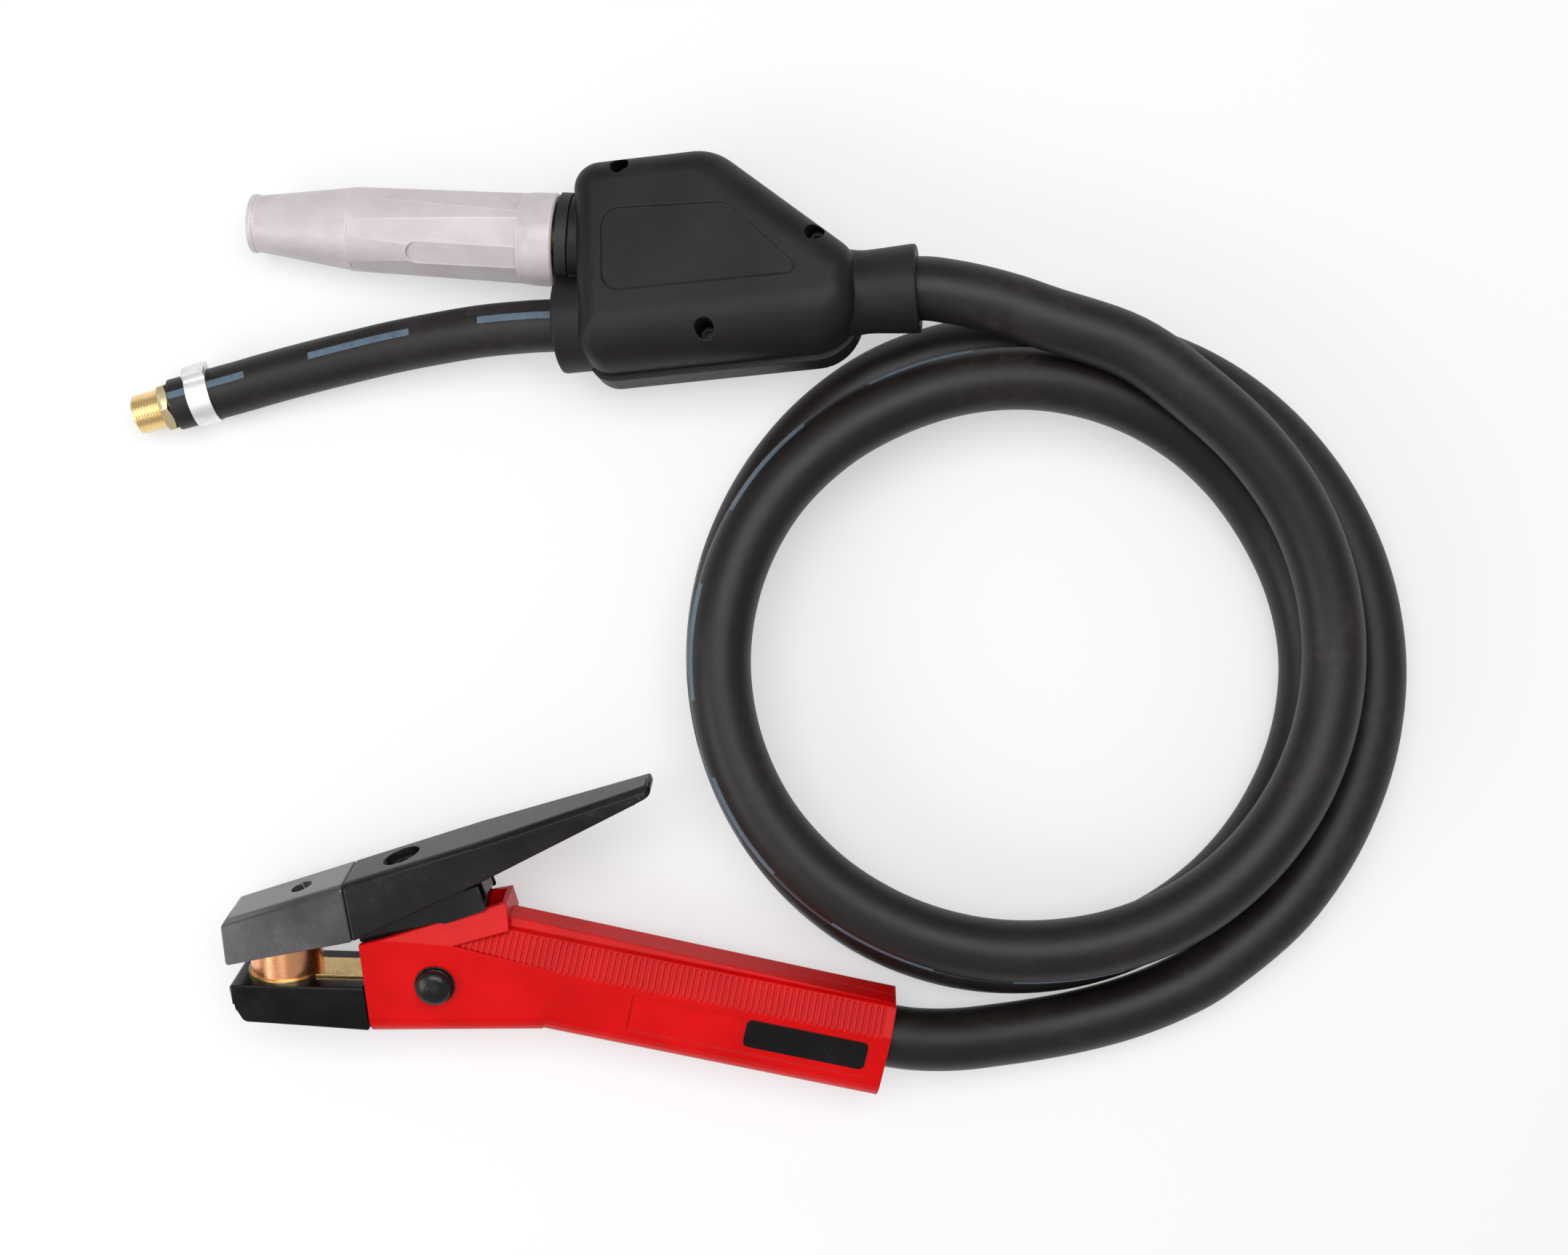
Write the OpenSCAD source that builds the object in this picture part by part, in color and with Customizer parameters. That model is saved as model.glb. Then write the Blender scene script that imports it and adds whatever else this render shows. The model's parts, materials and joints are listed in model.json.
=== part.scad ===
// Air carbon-arc gouging torch with its swivel cable set: a sprung jaw torch, a heavy
// power-and-air hose in two and a half loops, and a two-half boot that splits the hose into a
// twist-lock power connector and an air whip with a pipe fitting.
// Millimetres. +Z is up from the bench that the set lies on. The origin is under the middle
// of the torch and the boot. The torch lies on its side, its lever away from the operator.

/* [Torch pose] */
// Direction of the handle in plan, in degrees below the bench's X axis
torch_yaw = -11.7; // [-20:0.1:0]
// Rise of the torch towards its jaw, in degrees
torch_pitch = 1.6; // [0:0.1:4]
// Roll that turns the lever upwards, in degrees
torch_roll = 17; // [10:0.5:25]

/* [Handle] */
// Length of the straight grip, from its end to the collar's wall
grip_l = 166; // [150:1:190]
// Width across the grip
handle_w = 35; // [34.5:0.5:40]
// Height of the grip's flat top above the swivel's axis, at its end
grip_top = 19.2; // [18:0.1:22]
// Depth of the grip's bottom below the swivel's axis
grip_bottom = 23.3; // [22:0.1:26]
// Radius of the grip's lower edges
grip_edge_r = 10; // [6:0.5:12]
// Pitch of the ribs on the handle's upper edges
rib_pitch = 2.6; // [2.2:0.1:4]
// Wall of the moulded handle
handle_wall = 2.5; // [2:0.1:3]
// Clearance between the hose and the handle's bore
hose_clear = 1.2; // [0.8:0.1:1.6]

/* [Jaw] */
// Bend of the jaw below the handle's line, in degrees
head_bend = 11; // [8:0.5:14]
// Diameter of the copper head
head_d = 30.5; // [28:0.5:31]
// Height of the copper head above its seat
head_h = 13.5; // [11:0.5:14]
// Diameter of the brass seat under the head
seat_d = 32.5; // [32:0.5:34]
// Width of the brass strip behind the head
strip_w = 16.5; // [16:0.5:22]
// Width across the lower insulator
insulator_w = 36; // [34:0.5:38]
// Depth of the lower insulator below the seat
insulator_h = 17.9; // [16:0.1:20]

/* [Lever] */
// Angle of the lever above the handle's line, in degrees
lever_angle = 30.5; // [28:0.5:33]
// Length from the lever pin to the lever's tip
lever_tail = 116; // [100:1:125]
// Length from the lever pin to the front insulator's end
lever_nose = 76; // [74:0.5:80]
// Height of the lever's top face above its pin
lever_top = 33; // [32:0.2:36]
// Width of the lever at the joint between its two mouldings
lever_w = 35; // [34.5:0.5:37]
// Width of the lever at its tip
lever_tip_w = 16; // [12:0.5:20]
// Diameter of the lever pin
pin_d = 7; // [6:0.5:8]
// Wire of the lever spring
spring_wire = 1.8; // [1.4:0.1:2]
// Mean coil diameter of the lever spring
spring_d = 10; // [9:0.5:11]

/* [Valve] */
// Diameter of the valve spool
spool_d = 10; // [8:0.5:11]
// Diameter of the valve's domed buttons
button_d = 15; // [12:0.5:16]
// Height of a button above the handle's side
button_out = 6.5; // [6:0.1:7]
// Travel of the spool
spool_travel = 5; // [3:0.5:5.5]

/* [Hose] */
// Diameter of the power-and-air hose
hose_d = 26.4; // [24:0.2:27]
// Diameter of the air whip
whip_d = 22.2; // [20:0.2:23]
// Bore of the air whip
whip_bore = 11; // [9:0.5:12]

/* [Boot] */
// Direction of the boot in plan, in degrees
boot_yaw = 2.8; // [0:0.1:6]
// Rise of the boot towards the hose, in degrees
boot_pitch = 8; // [6:0.5:9]
// Roll of the boot, in degrees
boot_roll = 8; // [5:0.5:10]
// Height of the boot's upper half
boot_top_h = 25; // [24:0.5:27]
// Depth of the boot's lower half
boot_base_h = 22; // [21:0.5:25]
// Wall of the boot
boot_wall = 3; // [2.5:0.1:4]
// Diameter of the neck that the hose leaves by
neck_d = 36.4; // [35:0.5:40]
// Length of that neck
neck_l = 27; // [24:0.5:32]
// Diameter of the neck that the air whip leaves by
air_neck_d = 41; // [38:0.5:42]
// Diameter of the boot screws' counterbores
screw_bore_d = 8; // [7:0.5:9]

/* [Power connector] */
// Direction of the connector in plan, in degrees
plug_yaw = -3.8; // [-5:0.1:0]
// Fall of the connector towards its nose, in degrees
plug_pitch = 3.5; // [3:0.1:5]
// Length of the connector's sleeve
sleeve_l = 137; // [120:1:150]
// Diameter of the sleeve's collar
collar_d = 39.4; // [38.8:0.1:42]
// Diameter of the fluted body at its shoulder
shoulder_d = 35.5; // [34:0.1:37]
// Diameter of the sleeve's nose
nose_d = 24; // [22:0.5:26]
// Bore of the nose, where the welding cable goes in
nose_bore = 20; // [14:0.5:21]
// Bore of the socket's end, where the bared end of the cable goes in
liner_bore_d = 14; // [10:0.5:16]
// Diameter of the plug's body
plug_d = 19; // [16:0.5:20]

/* [Air fitting] */
// Outer diameter of the pipe thread
thread_d = 17.1; // [15:0.1:18]
// Length of the pipe thread
thread_l = 12.5; // [10:0.5:15]
// Width across the fitting's hexagon
hex_af = 19; // [18:0.5:22]
// Width of the ear clamp's band
clamp_w = 9.5; // [8:0.5:11]
// Thickness of the band
clamp_t = 1; // [0.6:0.1:1.4]

/* [Hidden] */
$fn = 48;
eps = 0.01;
slip = 0.05;         // radial clearance of a turning or sliding fit
gap = 0.3;           // clearance between pieces that move past each other
half = handle_w / 2;
hose_r = hose_d / 2;
whip_r = whip_d / 2;
inside = half - handle_wall;

// ---- places ----
torch_at = [132, -176, 21.1];    // the handle's end on the swivel's axis
pivot_at = [-204, 6];            // the lever's pin, from the handle's end
head_at = [-256.5, -23.5];       // the middle of the head's seat, from the handle's end
valve_at = [-191.5, -9.8];       // the air valve's axis, across the handle
coil_at = [197, -14];            // the middle of the hose's loops on the bench
boot_at = [2, 145, 27];          // the boot's front wall, on its parting plane
plug_at = [-3, 162.4, 24.5];     // the middle of the connector's flange

// ---- geometry helpers ----
function unit(v) = v / norm(v);

// Points of a polygon with rounded corners; a corner is [x, y, radius]. A radius is cut down
// where its side of the polygon is too short for it.
function rounded(c, n = 6) = [for (i = [0:len(c) - 1])
    let (p = [c[i].x, c[i].y], a = c[(i + len(c) - 1) % len(c)], b = c[(i + 1) % len(c)])
    each (c[i][2] == 0 ? [p] : corner(p, [a.x, a.y] - p, [b.x, b.y] - p, c[i][2], n))];

function corner(p, to_a, to_b, r_asked, n) =
    let (u = unit(to_a), v = unit(to_b), bend = acos(u * v) / 2,
        reach = min(r_asked / tan(bend), 0.48 * min(norm(to_a), norm(to_b))), r = reach * tan(bend),
        o = p + unit(u + v) * r / sin(bend), s = p + u * reach - o, e = p + v * reach - o,
        a = atan2(s.y, s.x), d = atan2(e.y, e.x) - a, w = d > 180 ? d - 360 : d < -180 ? d + 360 : d)
    [for (k = [0:n]) o + r * [cos(a + w * k / n), sin(a + w * k / n)]];

module at_torch() { translate(torch_at) rotate([torch_roll, torch_pitch, torch_yaw]) children(); }
module at_head() { at_torch() translate([head_at.x, head_at.y, 0]) rotate([0, 0, head_bend]) children(); }
module at_lever() { at_torch() translate([pivot_at.x, pivot_at.y, 0]) rotate([0, 0, lever_angle]) children(); }
module at_boot() { translate(boot_at) rotate([-boot_roll, -boot_pitch, boot_yaw]) children(); }
module at_plug() { translate(plug_at) rotate([0, -plug_pitch, plug_yaw]) children(); }

// A plate of the given width, drawn in the torch's side view and centred on its middle plane.
module side_plate(w) { linear_extrude(height = w, center = true) children(); }

// A round bar along X from x0 to x1, at the height y.
module bar_x(x0, x1, r, y = 0) { translate([x0, y, 0]) rotate([0, 90, 0]) cylinder(h = x1 - x0, r = r); }

// A round bar along the torch's Y from y0 to y1.
module bar_y(y0, y1, r, x = 0) { translate([x, y0, 0]) rotate([-90, 0, 0]) cylinder(h = y1 - y0, r = r); }

// A ring about X: inner radius a, outer radius b.
module ring_x(x0, x1, a, b) {
    difference() {
        bar_x(x0, x1, b);
        bar_x(x0 - 1, x1 + 1, a);
    }
}

// ---- handle ----
rim_front = [-225.5, 1];                // the collar's rim at the jaw
collar_top = [-grip_l - 3, 29.7];       // the rim's highest corner, at the collar's back wall
lean_at = [-213.5, 5.8];                // where the collar's sides start to lean in
rib_end = [-187, 9.3];                  // where the last rib meets the collar
collar_lean = 25.3;
collar_flare = 3.6;
grip_rise = 3.2;                        // the grip's top climbs this much towards the collar
bevel = [[7.6, half], [18.4, 10.2]];     // the ribbed bevel, as [height, half width]
jaw_slope = 13.05;                      // slope of the handle's bottom towards the jaw
slope_at = [-143, -22.8];
rib_deep = 0.6;
rib_start = 4;                          // the first groove, from the handle's end
groove_share = 0.45;                    // the grooves' share of the pitch
rear_wall = 12;                         // the handle grips the hose's line with a thick end
bore_r = hose_r + hose_clear;
barrel_r = 12.5;
screw_places = [[-200, -26.5], [-158, -16.4], [-22, -17.8]];
screw_r = 1.6;
screw_head_r = 3;
screw_seat = 12.2;             // the screw heads sit this far below the middle plane
label_at = [-8.5, -3.2];                // the label's right edge, at mid height
label_size = [52, 12.4];
label_depth = 0.6;

module grip_solid() {
    section = rounded([[28, -1.5, 0], [grip_top, -8, 0], [bevel[1].x, -bevel[1].y, 1], [bevel[0].x, -half, 2],
        [-grip_bottom, -half, grip_edge_r], [-grip_bottom, half, grip_edge_r], [bevel[0].x, half, 2],
        [bevel[1].x, bevel[1].y, 1], [grip_top, 8, 0], [28, 1.5, 0]]);
    intersection() {
        translate([-190, 0, 0]) rotate([90, 0, 90]) linear_extrude(height = 190) polygon(section);
        side_plate(3 * half) polygon(rounded([[0, grip_top, 1.5], [-grip_l, grip_top + grip_rise, 0],
            [-190, grip_top + grip_rise, 0], [-190, -30, 0], [0, -30, 0]]));
    }
}

// What lies beyond the leaning sides of the collar, moved in by a distance.
module beyond_collar(inset) {
    for (s = [0, 1]) mirror([0, 0, s]) translate([lean_at.x, lean_at.y, half - inset])
        rotate([-collar_lean, -collar_flare, 0]) translate([-60, -60, 0]) cube([140, 120, 30]);
}

module jaw_end_solid() {
    difference() {
        intersection() {
            side_plate(handle_w) polygon([rim_front, collar_top, [-grip_l + 0.5, 19.5], rib_end, [-144, rib_end.y - 2],
                [-144, -30], slope_at - [60, 20], [-214, -39.4]]);
            translate(slope_at) rotate([0, 0, jaw_slope]) translate([-90, 0, 0]) rotate([90, 0, 90])
                linear_extrude(height = 100) polygon(rounded([[80, -half, 0], [0, -half, 8], [0, half, 8], [80, half, 0]]));
        }
        beyond_collar(0);
    }
}

// Grooves between the ribs, cut square across the bevel on one side: a comb that stands
// outside the handle, its teeth reaching in.
module rib_grooves(side) {
    across = bevel[1] - bevel[0];
    n = floor((-rib_start - rib_end.x) / rib_pitch);
    teeth = [for (i = [0:n]) let (a = -rib_start - i * rib_pitch, b = a - groove_share * rib_pitch)
        each [[a, 1], [a, -rib_deep], [b, -rib_deep], [b, 1]]];
    comb = concat([[-rib_start, 2]], teeth, [[-rib_start - (n + groove_share) * rib_pitch, 2]]);
    mirror([0, 0, side > 0 ? 0 : 1]) translate([0, bevel[0].x, bevel[0].y])
        rotate([atan2(across.y, across.x), 0, 0]) translate([0, norm(across) - 0.8, 0]) rotate([90, 0, 0])
            linear_extrude(height = norm(across) + 2) polygon(comb);
}

module handle_cavity() {
    inner = [[16.2, -7.4, 1], [6.6, -14.8, 1], [-20.5, -14.8, 7.5], [-20.5, 14.8, 7.5], [6.6, 14.8, 1], [16.2, 7.4, 1]];
    under_bevel = [[60, -ear_in], [17, -ear_in], [-0.9, -20], [-40, -20], [-40, 20], [-0.9, 20], [17, ear_in],
        [60, ear_in]];
    difference() {
        intersection() {
            side_plate(2 * inside) polygon([[-240, 60], [-240, -36.5], [-214, -36.4], [-189, -30.5],
                [-150, -20.4], [-150, 14], [-grip_l - 5, 20], [-grip_l - 5, 60]]);
            union() {
                translate([-250, -60, -30]) cube([60, 160, 60]);
                translate([-190.5, 0, 0]) rotate([90, 0, 90]) linear_extrude(height = 60) polygon(under_bevel);
            }
        }
        beyond_collar(handle_wall);
        handle_bosses();
    }
    difference() {
        translate([-151, 0, 0]) rotate([90, 0, 90]) linear_extrude(height = 151 - rear_wall) polygon(rounded(inner));
        for (x = [-149, -128]) ring_x(x, x + 3, barrel_r, 30);
        handle_bosses();
    }
    bar_x(-rear_wall - 1, 1, bore_r);
    translate([pivot_at.x, pivot_at.y, -pin_half - 0.2]) cylinder(h = 2 * pin_half + 0.4, r = 6);
}

module handle_bosses() {
    for (p = screw_places) translate([p.x, p.y, -20]) cylinder(h = 40, r = screw_r + 1.7);
}

module handle_half(side) {
    at_torch() difference() {
        intersection() {
            union() {
                difference() {
                    grip_solid();
                    rib_grooves(side);
                }
                jaw_end_solid();
            }
            translate([-250, -60, side > 0 ? 0 : -60]) cube([260, 120, 60]);
        }
        handle_cavity();
        translate([valve_at.x, valve_at.y, -40]) cylinder(h = 80, r = ring_r);
        for (p = screw_places) translate([p.x, p.y, -40]) {
            cylinder(h = 52, r = screw_r);
            cylinder(h = 40 - screw_seat, r = screw_head_r);
        }
        if (side > 0) translate([-109.5, label_at.y - 9.3, half - label_depth]) cube([102, 16.1, 5]);
    }
}

module handle_near() { color([0.86, 0.02, 0.06]) handle_half(1); }
module handle_far() { color([0.86, 0.02, 0.06]) handle_half(-1); }

module name_label() {
    c = label_size;
    color([0.05, 0.05, 0.05]) at_torch() translate([label_at.x - c.x, label_at.y - c.y / 2, half - label_depth])
        linear_extrude(height = 0.4) polygon(rounded([[0, 0, 2.5], [c.x, 0, 2.5], [c.x, c.y, 2.5], [0, c.y, 2.5]]));
}

module handle_screws() {
    color([0.2, 0.2, 0.2]) at_torch() for (p = screw_places) translate([p.x, p.y, -screw_seat - 2.2]) difference() {
        union() {
            cylinder(h = 2.2, r = screw_head_r);
            cylinder(h = screw_seat + 12, r = screw_r);
        }
        translate([0, 0, -eps]) cylinder(h = 1.6, d = 3.4, $fn = 6);
    }
}

// ---- torch body: swivel barrel, valve barrel, strip and seat, lever ears ----
seat_t = 1.2;                 // the seat stands proud of the lower insulator
tongue_t = 3.8;               // the insulator's tongue lies this far below the seat
strip_t = 6;
ear_in = 7.6;
ear_out = 11;
pin_half = 12.4;              // half of the lever pin's length
valve_r = 10.2;
spring_t = 22;                // the spring stands this far behind the lever pin
spring_seat_h = -16;          // its seat on the body, in the lever's frame
spring_top_h = 8;             // its seat in the lever
spool_r = spool_d / 2 - slip;
swivel_r = 9;

module torch_body() {
    color([0.72, 0.53, 0.25]) difference() {
        union() {
            at_torch() {
                bar_x(-168, -113, barrel_r);
                translate([valve_at.x, valve_at.y, -valve_r]) cylinder(h = 2 * valve_r, r = valve_r);
                side_plate(14) polygon([[-193, -19], [-166, -12.3], [-166, 8], [-176, 2], [-190, -2]]);
                for (s = [0, 1]) mirror([0, 0, s]) translate([0, 0, ear_in]) linear_extrude(height = ear_out - ear_in) {
                    polygon([[-210.5, 6], [-197.5, 6], [-196, -15], [-209.5, -17.6]]);
                    translate(pivot_at) circle(r = 6.5);
                }
            }
            at_lever() {
                bar_y(spring_seat_h - 12, spring_seat_h, spring_d / 2 + 2, spring_t);
                bar_y(spring_seat_h - 1, spring_seat_h + 4, spring_d / 2 - spring_wire / 2 - 0.4, spring_t);
            }
            at_head() {
                side_plate(strip_w) polygon([[0, 0], [60, 0], [60, -strip_t], [0, -strip_t]]);
                side_plate(2 * ear_out - 1) polygon([[46, 0], [64, 0], [64, -strip_t], [46, -strip_t]]);
                bar_y(-seat_t, 0, seat_d / 2);
                bar_y(-strip_t, 0, 12);
            }
        }
        at_torch() {
            bar_x(-162, -112, swivel_r);
            bar_x(valve_at.x, -160, 2.2, -6);
            translate([valve_at.x, valve_at.y, -20]) cylinder(h = 40, d = spool_d);
            translate([pivot_at.x, pivot_at.y, -20]) cylinder(h = 40, d = pin_d);
        }
        at_head() {
            bar_y(-strip_t - 1, 1, spigot_r + slip);
            bar_x(0, 66, 1.8, -strip_t / 2);
            translate([0, 0, insulator_screw_at.y]) bar_y(-strip_t - 1, -1, screw_r - 0.4, insulator_screw_at.x);
        }
    }
}

// ---- jaw ----
spigot_r = 6;
insulator_screw_at = [28, 6];

module lower_insulator() {
    outer = rounded([[-21, -seat_t, 2], [36.5, -seat_t, 0], [38, -21, 0], [-15, -insulator_h, 4], [-19.5, -10, 3]]);
    color([0.03, 0.03, 0.03]) at_head() difference() {
        intersection() {
            union() {
                side_plate(insulator_w) polygon(outer);
                side_plate(2 * inside - 0.6) polygon([[30, -tongue_t], [50, -tongue_t], [50, -17.5], [30, -18.5]]);
            }
            rotate([-90, 0, 0]) translate([0, 0, -30]) linear_extrude(height = 60)
                polygon(rounded([[-22, -insulator_w / 2, 5], [70, -20, 0], [70, 20, 0], [-22, insulator_w / 2, 5]]));
        }
        side_plate(strip_w) polygon([[0, 0], [60, 0], [60, -strip_t], [0, -strip_t]]);
        side_plate(40) polygon([[44, 0], [60, 0], [60, -strip_t - 1], [44, -strip_t - 1]]);
        bar_y(-strip_t, 0, 12);
        bar_y(-11.8, 0, 8.4);
        bar_y(-30, 0, 5.5);
        translate([0, 0, insulator_screw_at.y]) {
            bar_y(-30, 0, screw_r, insulator_screw_at.x);
            bar_y(-30, -15, screw_head_r + 0.4, insulator_screw_at.x);
        }
    }
}

module insulator_screw() {
    color([0.6, 0.6, 0.6]) at_head() translate([0, 0, insulator_screw_at.y]) difference() {
        union() {
            bar_y(-17.4, -15, screw_head_r, insulator_screw_at.x);
            bar_y(-16, -1.4, screw_r - 0.4, insulator_screw_at.x);
        }
        translate([insulator_screw_at.x, -18, 0]) rotate([-90, 0, 0]) cylinder(h = 2, d = 3.4, $fn = 6);
    }
}

module head() {
    color([0.85, 0.45, 0.25]) at_head() difference() {
        union() {
            bar_y(0, head_h, head_d / 2);
            bar_y(-strip_t - 0.1, 1, spigot_r);
        }
        side_plate(head_d + 2) polygon([[-1, head_h + 1], [-4, head_h - 3], [-7, head_h + 1]]);
        bar_y(-10, 4, 3);
        ring_y(-4.8, -1.2, 4.9, spigot_r + 1);
        for (z = [-4.4, 4.4]) translate([0, 0, z]) {
            bar_y(-3, head_h - 2, 1.1);
            translate([0, head_h - 2.6, 0]) rotate([0, 0, 75]) bar_y(-1, 6, 1.1);
        }
    }
}

// A ring about the torch's Y: inner radius a, outer radius b.
module ring_y(y0, y1, a, b, x = 0) {
    difference() {
        bar_y(y0, y1, b, x);
        bar_y(y0 - 1, y1 + 1, a, x);
    }
}

module head_washer() {
    color([0.7, 0.7, 0.7]) at_head() ring_y(-strip_t - 1.3, -strip_t - 0.1, 3, 7.8);
}

module head_screw() {
    color([0.6, 0.6, 0.6]) at_head() difference() {
        union() {
            bar_y(-strip_t - 4.5, -strip_t - 1.3, 5);
            bar_y(-strip_t - 4.5, 3.5, 3);
        }
        translate([0, -strip_t - 5, 0]) rotate([-90, 0, 0]) cylinder(h = 2.5, d = 4.6, $fn = 6);
    }
}

// ---- lever ----
arm_top = 24;
skirt_t = -21;                // the seam between the lever's two mouldings
side_lean = 8.8;              // the lever's sides lean in towards its top
nose_slope = 0.7;             // they open slightly towards the pin
tail_slope = -4.5;            // and close towards the tip
front_screw_t = -40.6;
rear_screw_t = 5;
root_half = 12.5;              // the block's wide root closes the collar's mouth in front of the ears

// What lies beyond the sides of the lever, moved in by a distance.
module beyond_lever(inset) {
    for (s = [0, 1]) mirror([0, 0, s]) {
        translate([-19, lever_top, 14.4 - inset]) rotate([-side_lean, -nose_slope, 0])
            translate([-80, -60, 0]) cube([250, 80, 40]);
        translate([42, lever_top, 14.9 - inset]) rotate([-side_lean, -tail_slope, 0])
            translate([-80, -60, 0]) cube([200, 80, 40]);
        translate([-19, lever_top, 12.2 - inset]) rotate([-side_lean - 45, -nose_slope, 0])
            translate([-80, -60, 0]) cube([250, 80, 40]);
        translate([42, lever_top, 12.7 - inset]) rotate([-side_lean - 45, -tail_slope, 0])
            translate([-80, -60, 0]) cube([200, 80, 40]);
    }
}

// The bevelled, tapering shape that both mouldings of the lever are cut from.
module lever_shape(inset) {
    tip = lever_tip_w / 2 + 1.4 - inset;
    difference() {
        intersection() {
            side_plate(60) children();
            rotate([-90, 0, 0]) translate([0, 0, -20]) linear_extrude(height = 80) polygon(rounded([
                [-90, -22, 0], [20, -22, 0], [lever_tail - inset, -tip, 5], [lever_tail - inset, tip, 5],
                [20, 22, 0], [-90, 22, 0]]));
        }
        beyond_lever(inset);
    }
}

module front_insulator() {
    color([0.04, 0.04, 0.04]) at_lever() difference() {
        lever_shape(0) polygon(rounded([[-74, lever_top, 4], [skirt_t + 2, lever_top, 0], [skirt_t - 2, 9, 0],
            [-78.3, 15, 1.5]]));
        difference() {
            lever_shape(2.2) polygon([[-73, 28.5], [-10, 28.5], [-10, 0], [-76, 0]]);
            side_plate(18) polygon([[-90, 28.6], [-90, arm_top], [0, arm_top], [0, 28.6]]);
        }
        head_from_lever() bar_y(0, head_h + 1.2, head_d / 2 + 0.5);
        bar_y(arm_top + 2.6, 40, 4.7, front_screw_t);
        bar_y(arm_top - 1, 40, 2, front_screw_t);
    }
}

// The head's frame, seen from the lever's frame.
module head_from_lever() {
    rotate([0, 0, -lever_angle]) translate([head_at.x - pivot_at.x, head_at.y - pivot_at.y, 0])
        rotate([0, 0, head_bend]) children();
}

module lever_grip() {
    color([0.05, 0.05, 0.05]) at_lever() difference() {
        lever_shape(0) polygon(rounded([[skirt_t + 2, lever_top, 0], [lever_tail, lever_top, 2.5],
            [lever_tail, 29, 2.5], [108, 27.2, 6], [37, 17, 10], [skirt_t - 2, 9, 0]]));
        difference() {
            lever_shape(3) polygon([[skirt_t - 12, 28.5], [72, 28.5], [72, 21.8], [37, 13], [skirt_t - 12, 0]]);
            side_plate(18) polygon([[-40, 28.6], [-40, arm_top], [36, arm_top], [36, 28.6]]);
        }
        bar_y(arm_top + 3, 40, 8.15, rear_screw_t);
        bar_y(arm_top - 1, 40, 3, rear_screw_t);
    }
}

module upper_arm() {
    pad = [[-71, arm_top], [-71, 19.4], [-42.5, 9.3], [-38, 13.5], [-38, arm_top]];
    color([0.72, 0.53, 0.25]) at_lever() difference() {
        union() {
            side_plate(18) polygon(pad);
            side_plate(10) polygon([[-40, arm_top], [-40, 12.9], [-16, 11.4], [-5.5, 0], [5.5, 0], [14, 9.5], [32, 11.5],
                [32, arm_top]]);
            side_plate(10) circle(r = 5.6);
        }
        translate([0, 0, -20]) cylinder(h = 40, d = pin_d + 2 * slip);
        bar_y(arm_top - 6, 40, screw_r, front_screw_t);
        bar_y(arm_top - 7, 40, 3, rear_screw_t);
    }
}

module pivot_block() {
    color([0.02, 0.02, 0.02]) at_lever() difference() {
        union() {
            side_plate(2 * ear_in - 0.6) polygon(rounded([[-22, 20, 0], [-22, 10.5, 2], [-7.5, -1, 3], [-4.5, -7, 3],
                [6, -7, 3], [14, -4, 2], [30, -2, 3], [35, 7, 2], [35, 20, 0]]));
            side_plate(2 * root_half) polygon(rounded([[-21.5, 19, 0], [-21.5, 6, 1.5], [-16, 1.5, 3], [-10.5, 1.5, 1],
                [-9.5, 19, 0]]));
        }
        side_plate(10 + eps) polygon([[-40, 30], [-40, 11.4], [-16, 11.4], [-5.5, 0], [5.5, 0], [14, 9.5], [32, 11.5],
            [32, 30]]);
        side_plate(10 + eps) circle(r = 5.6);
        translate([0, 0, -20]) cylinder(h = 40, d = pin_d + 2 * slip);
        bar_y(-20, spring_top_h, spring_d / 2 + spring_wire / 2 + 0.6, spring_t);
    }
}

module lever_screws() {
    color([0.6, 0.6, 0.6]) at_lever() {
        lever_screw(front_screw_t, arm_top + 2.6, 3.9, screw_r, 5.4);
        lever_screw(rear_screw_t, arm_top + 3, 6, 3, 6.4);
    }
}

module lever_screw(t, seat, head_r, shank_r, deep) {
    difference() {
        union() {
            bar_y(seat, seat + head_r * 0.55, head_r, t);
            bar_y(arm_top - deep, seat + 1, shank_r, t);
        }
        translate([t, seat + head_r * 0.2, 0]) rotate([-90, 0, 0]) cylinder(h = 5, d = head_r, $fn = 6);
    }
}

module pivot_pin() {
    color([0.75, 0.75, 0.75]) at_torch() translate([pivot_at.x, pivot_at.y, 0]) difference() {
        translate([0, 0, -pin_half]) cylinder(h = 2 * pin_half, d = pin_d);
        for (z = [-ear_out - 0.9, ear_out + 0.1]) translate([0, 0, z]) difference() {
            cylinder(h = 0.8, d = pin_d + 2);
            translate([0, 0, -1]) cylinder(h = 3, d = pin_d - 1.4);
        }
    }
}

module pin_clips() {
    color([0.55, 0.55, 0.55]) at_torch() for (z = [-ear_out - 0.9, ear_out + 0.1]) translate([pivot_at.x, pivot_at.y, z]) difference() {
        cylinder(h = 0.8, r = 5.4);
        translate([0, 0, -1]) cylinder(h = 3, d = pin_d - 1.4);
        translate([-1.8, -8, -1]) cube([3.6, 8, 3]);
    }
}

// ---- valve ----
ring_r = button_d / 2 + 1;
near_skirt = 12;
far_skirt = 16.1;

module valve_spool() {
    color([0.75, 0.6, 0.3]) at_torch() translate([valve_at.x, valve_at.y, 0]) difference() {
        union() {
            translate([0, 0, -17.5]) cylinder(h = 35, r = spool_r);
            translate([0, 0, -20.5]) cylinder(h = 41, r = 2.5);
        }
        translate([0, 0, -8]) groove(3.2, 6);
        for (z = seal_places) translate([0, 0, z]) groove(3.7, 1.6);
    }
}

seal_places = [-9.9, -1.8, 8.2];

module groove(r, w) {
    difference() {
        cylinder(h = w, r = spool_r + 1);
        translate([0, 0, -1]) cylinder(h = w + 2, r = r);
    }
}

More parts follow.
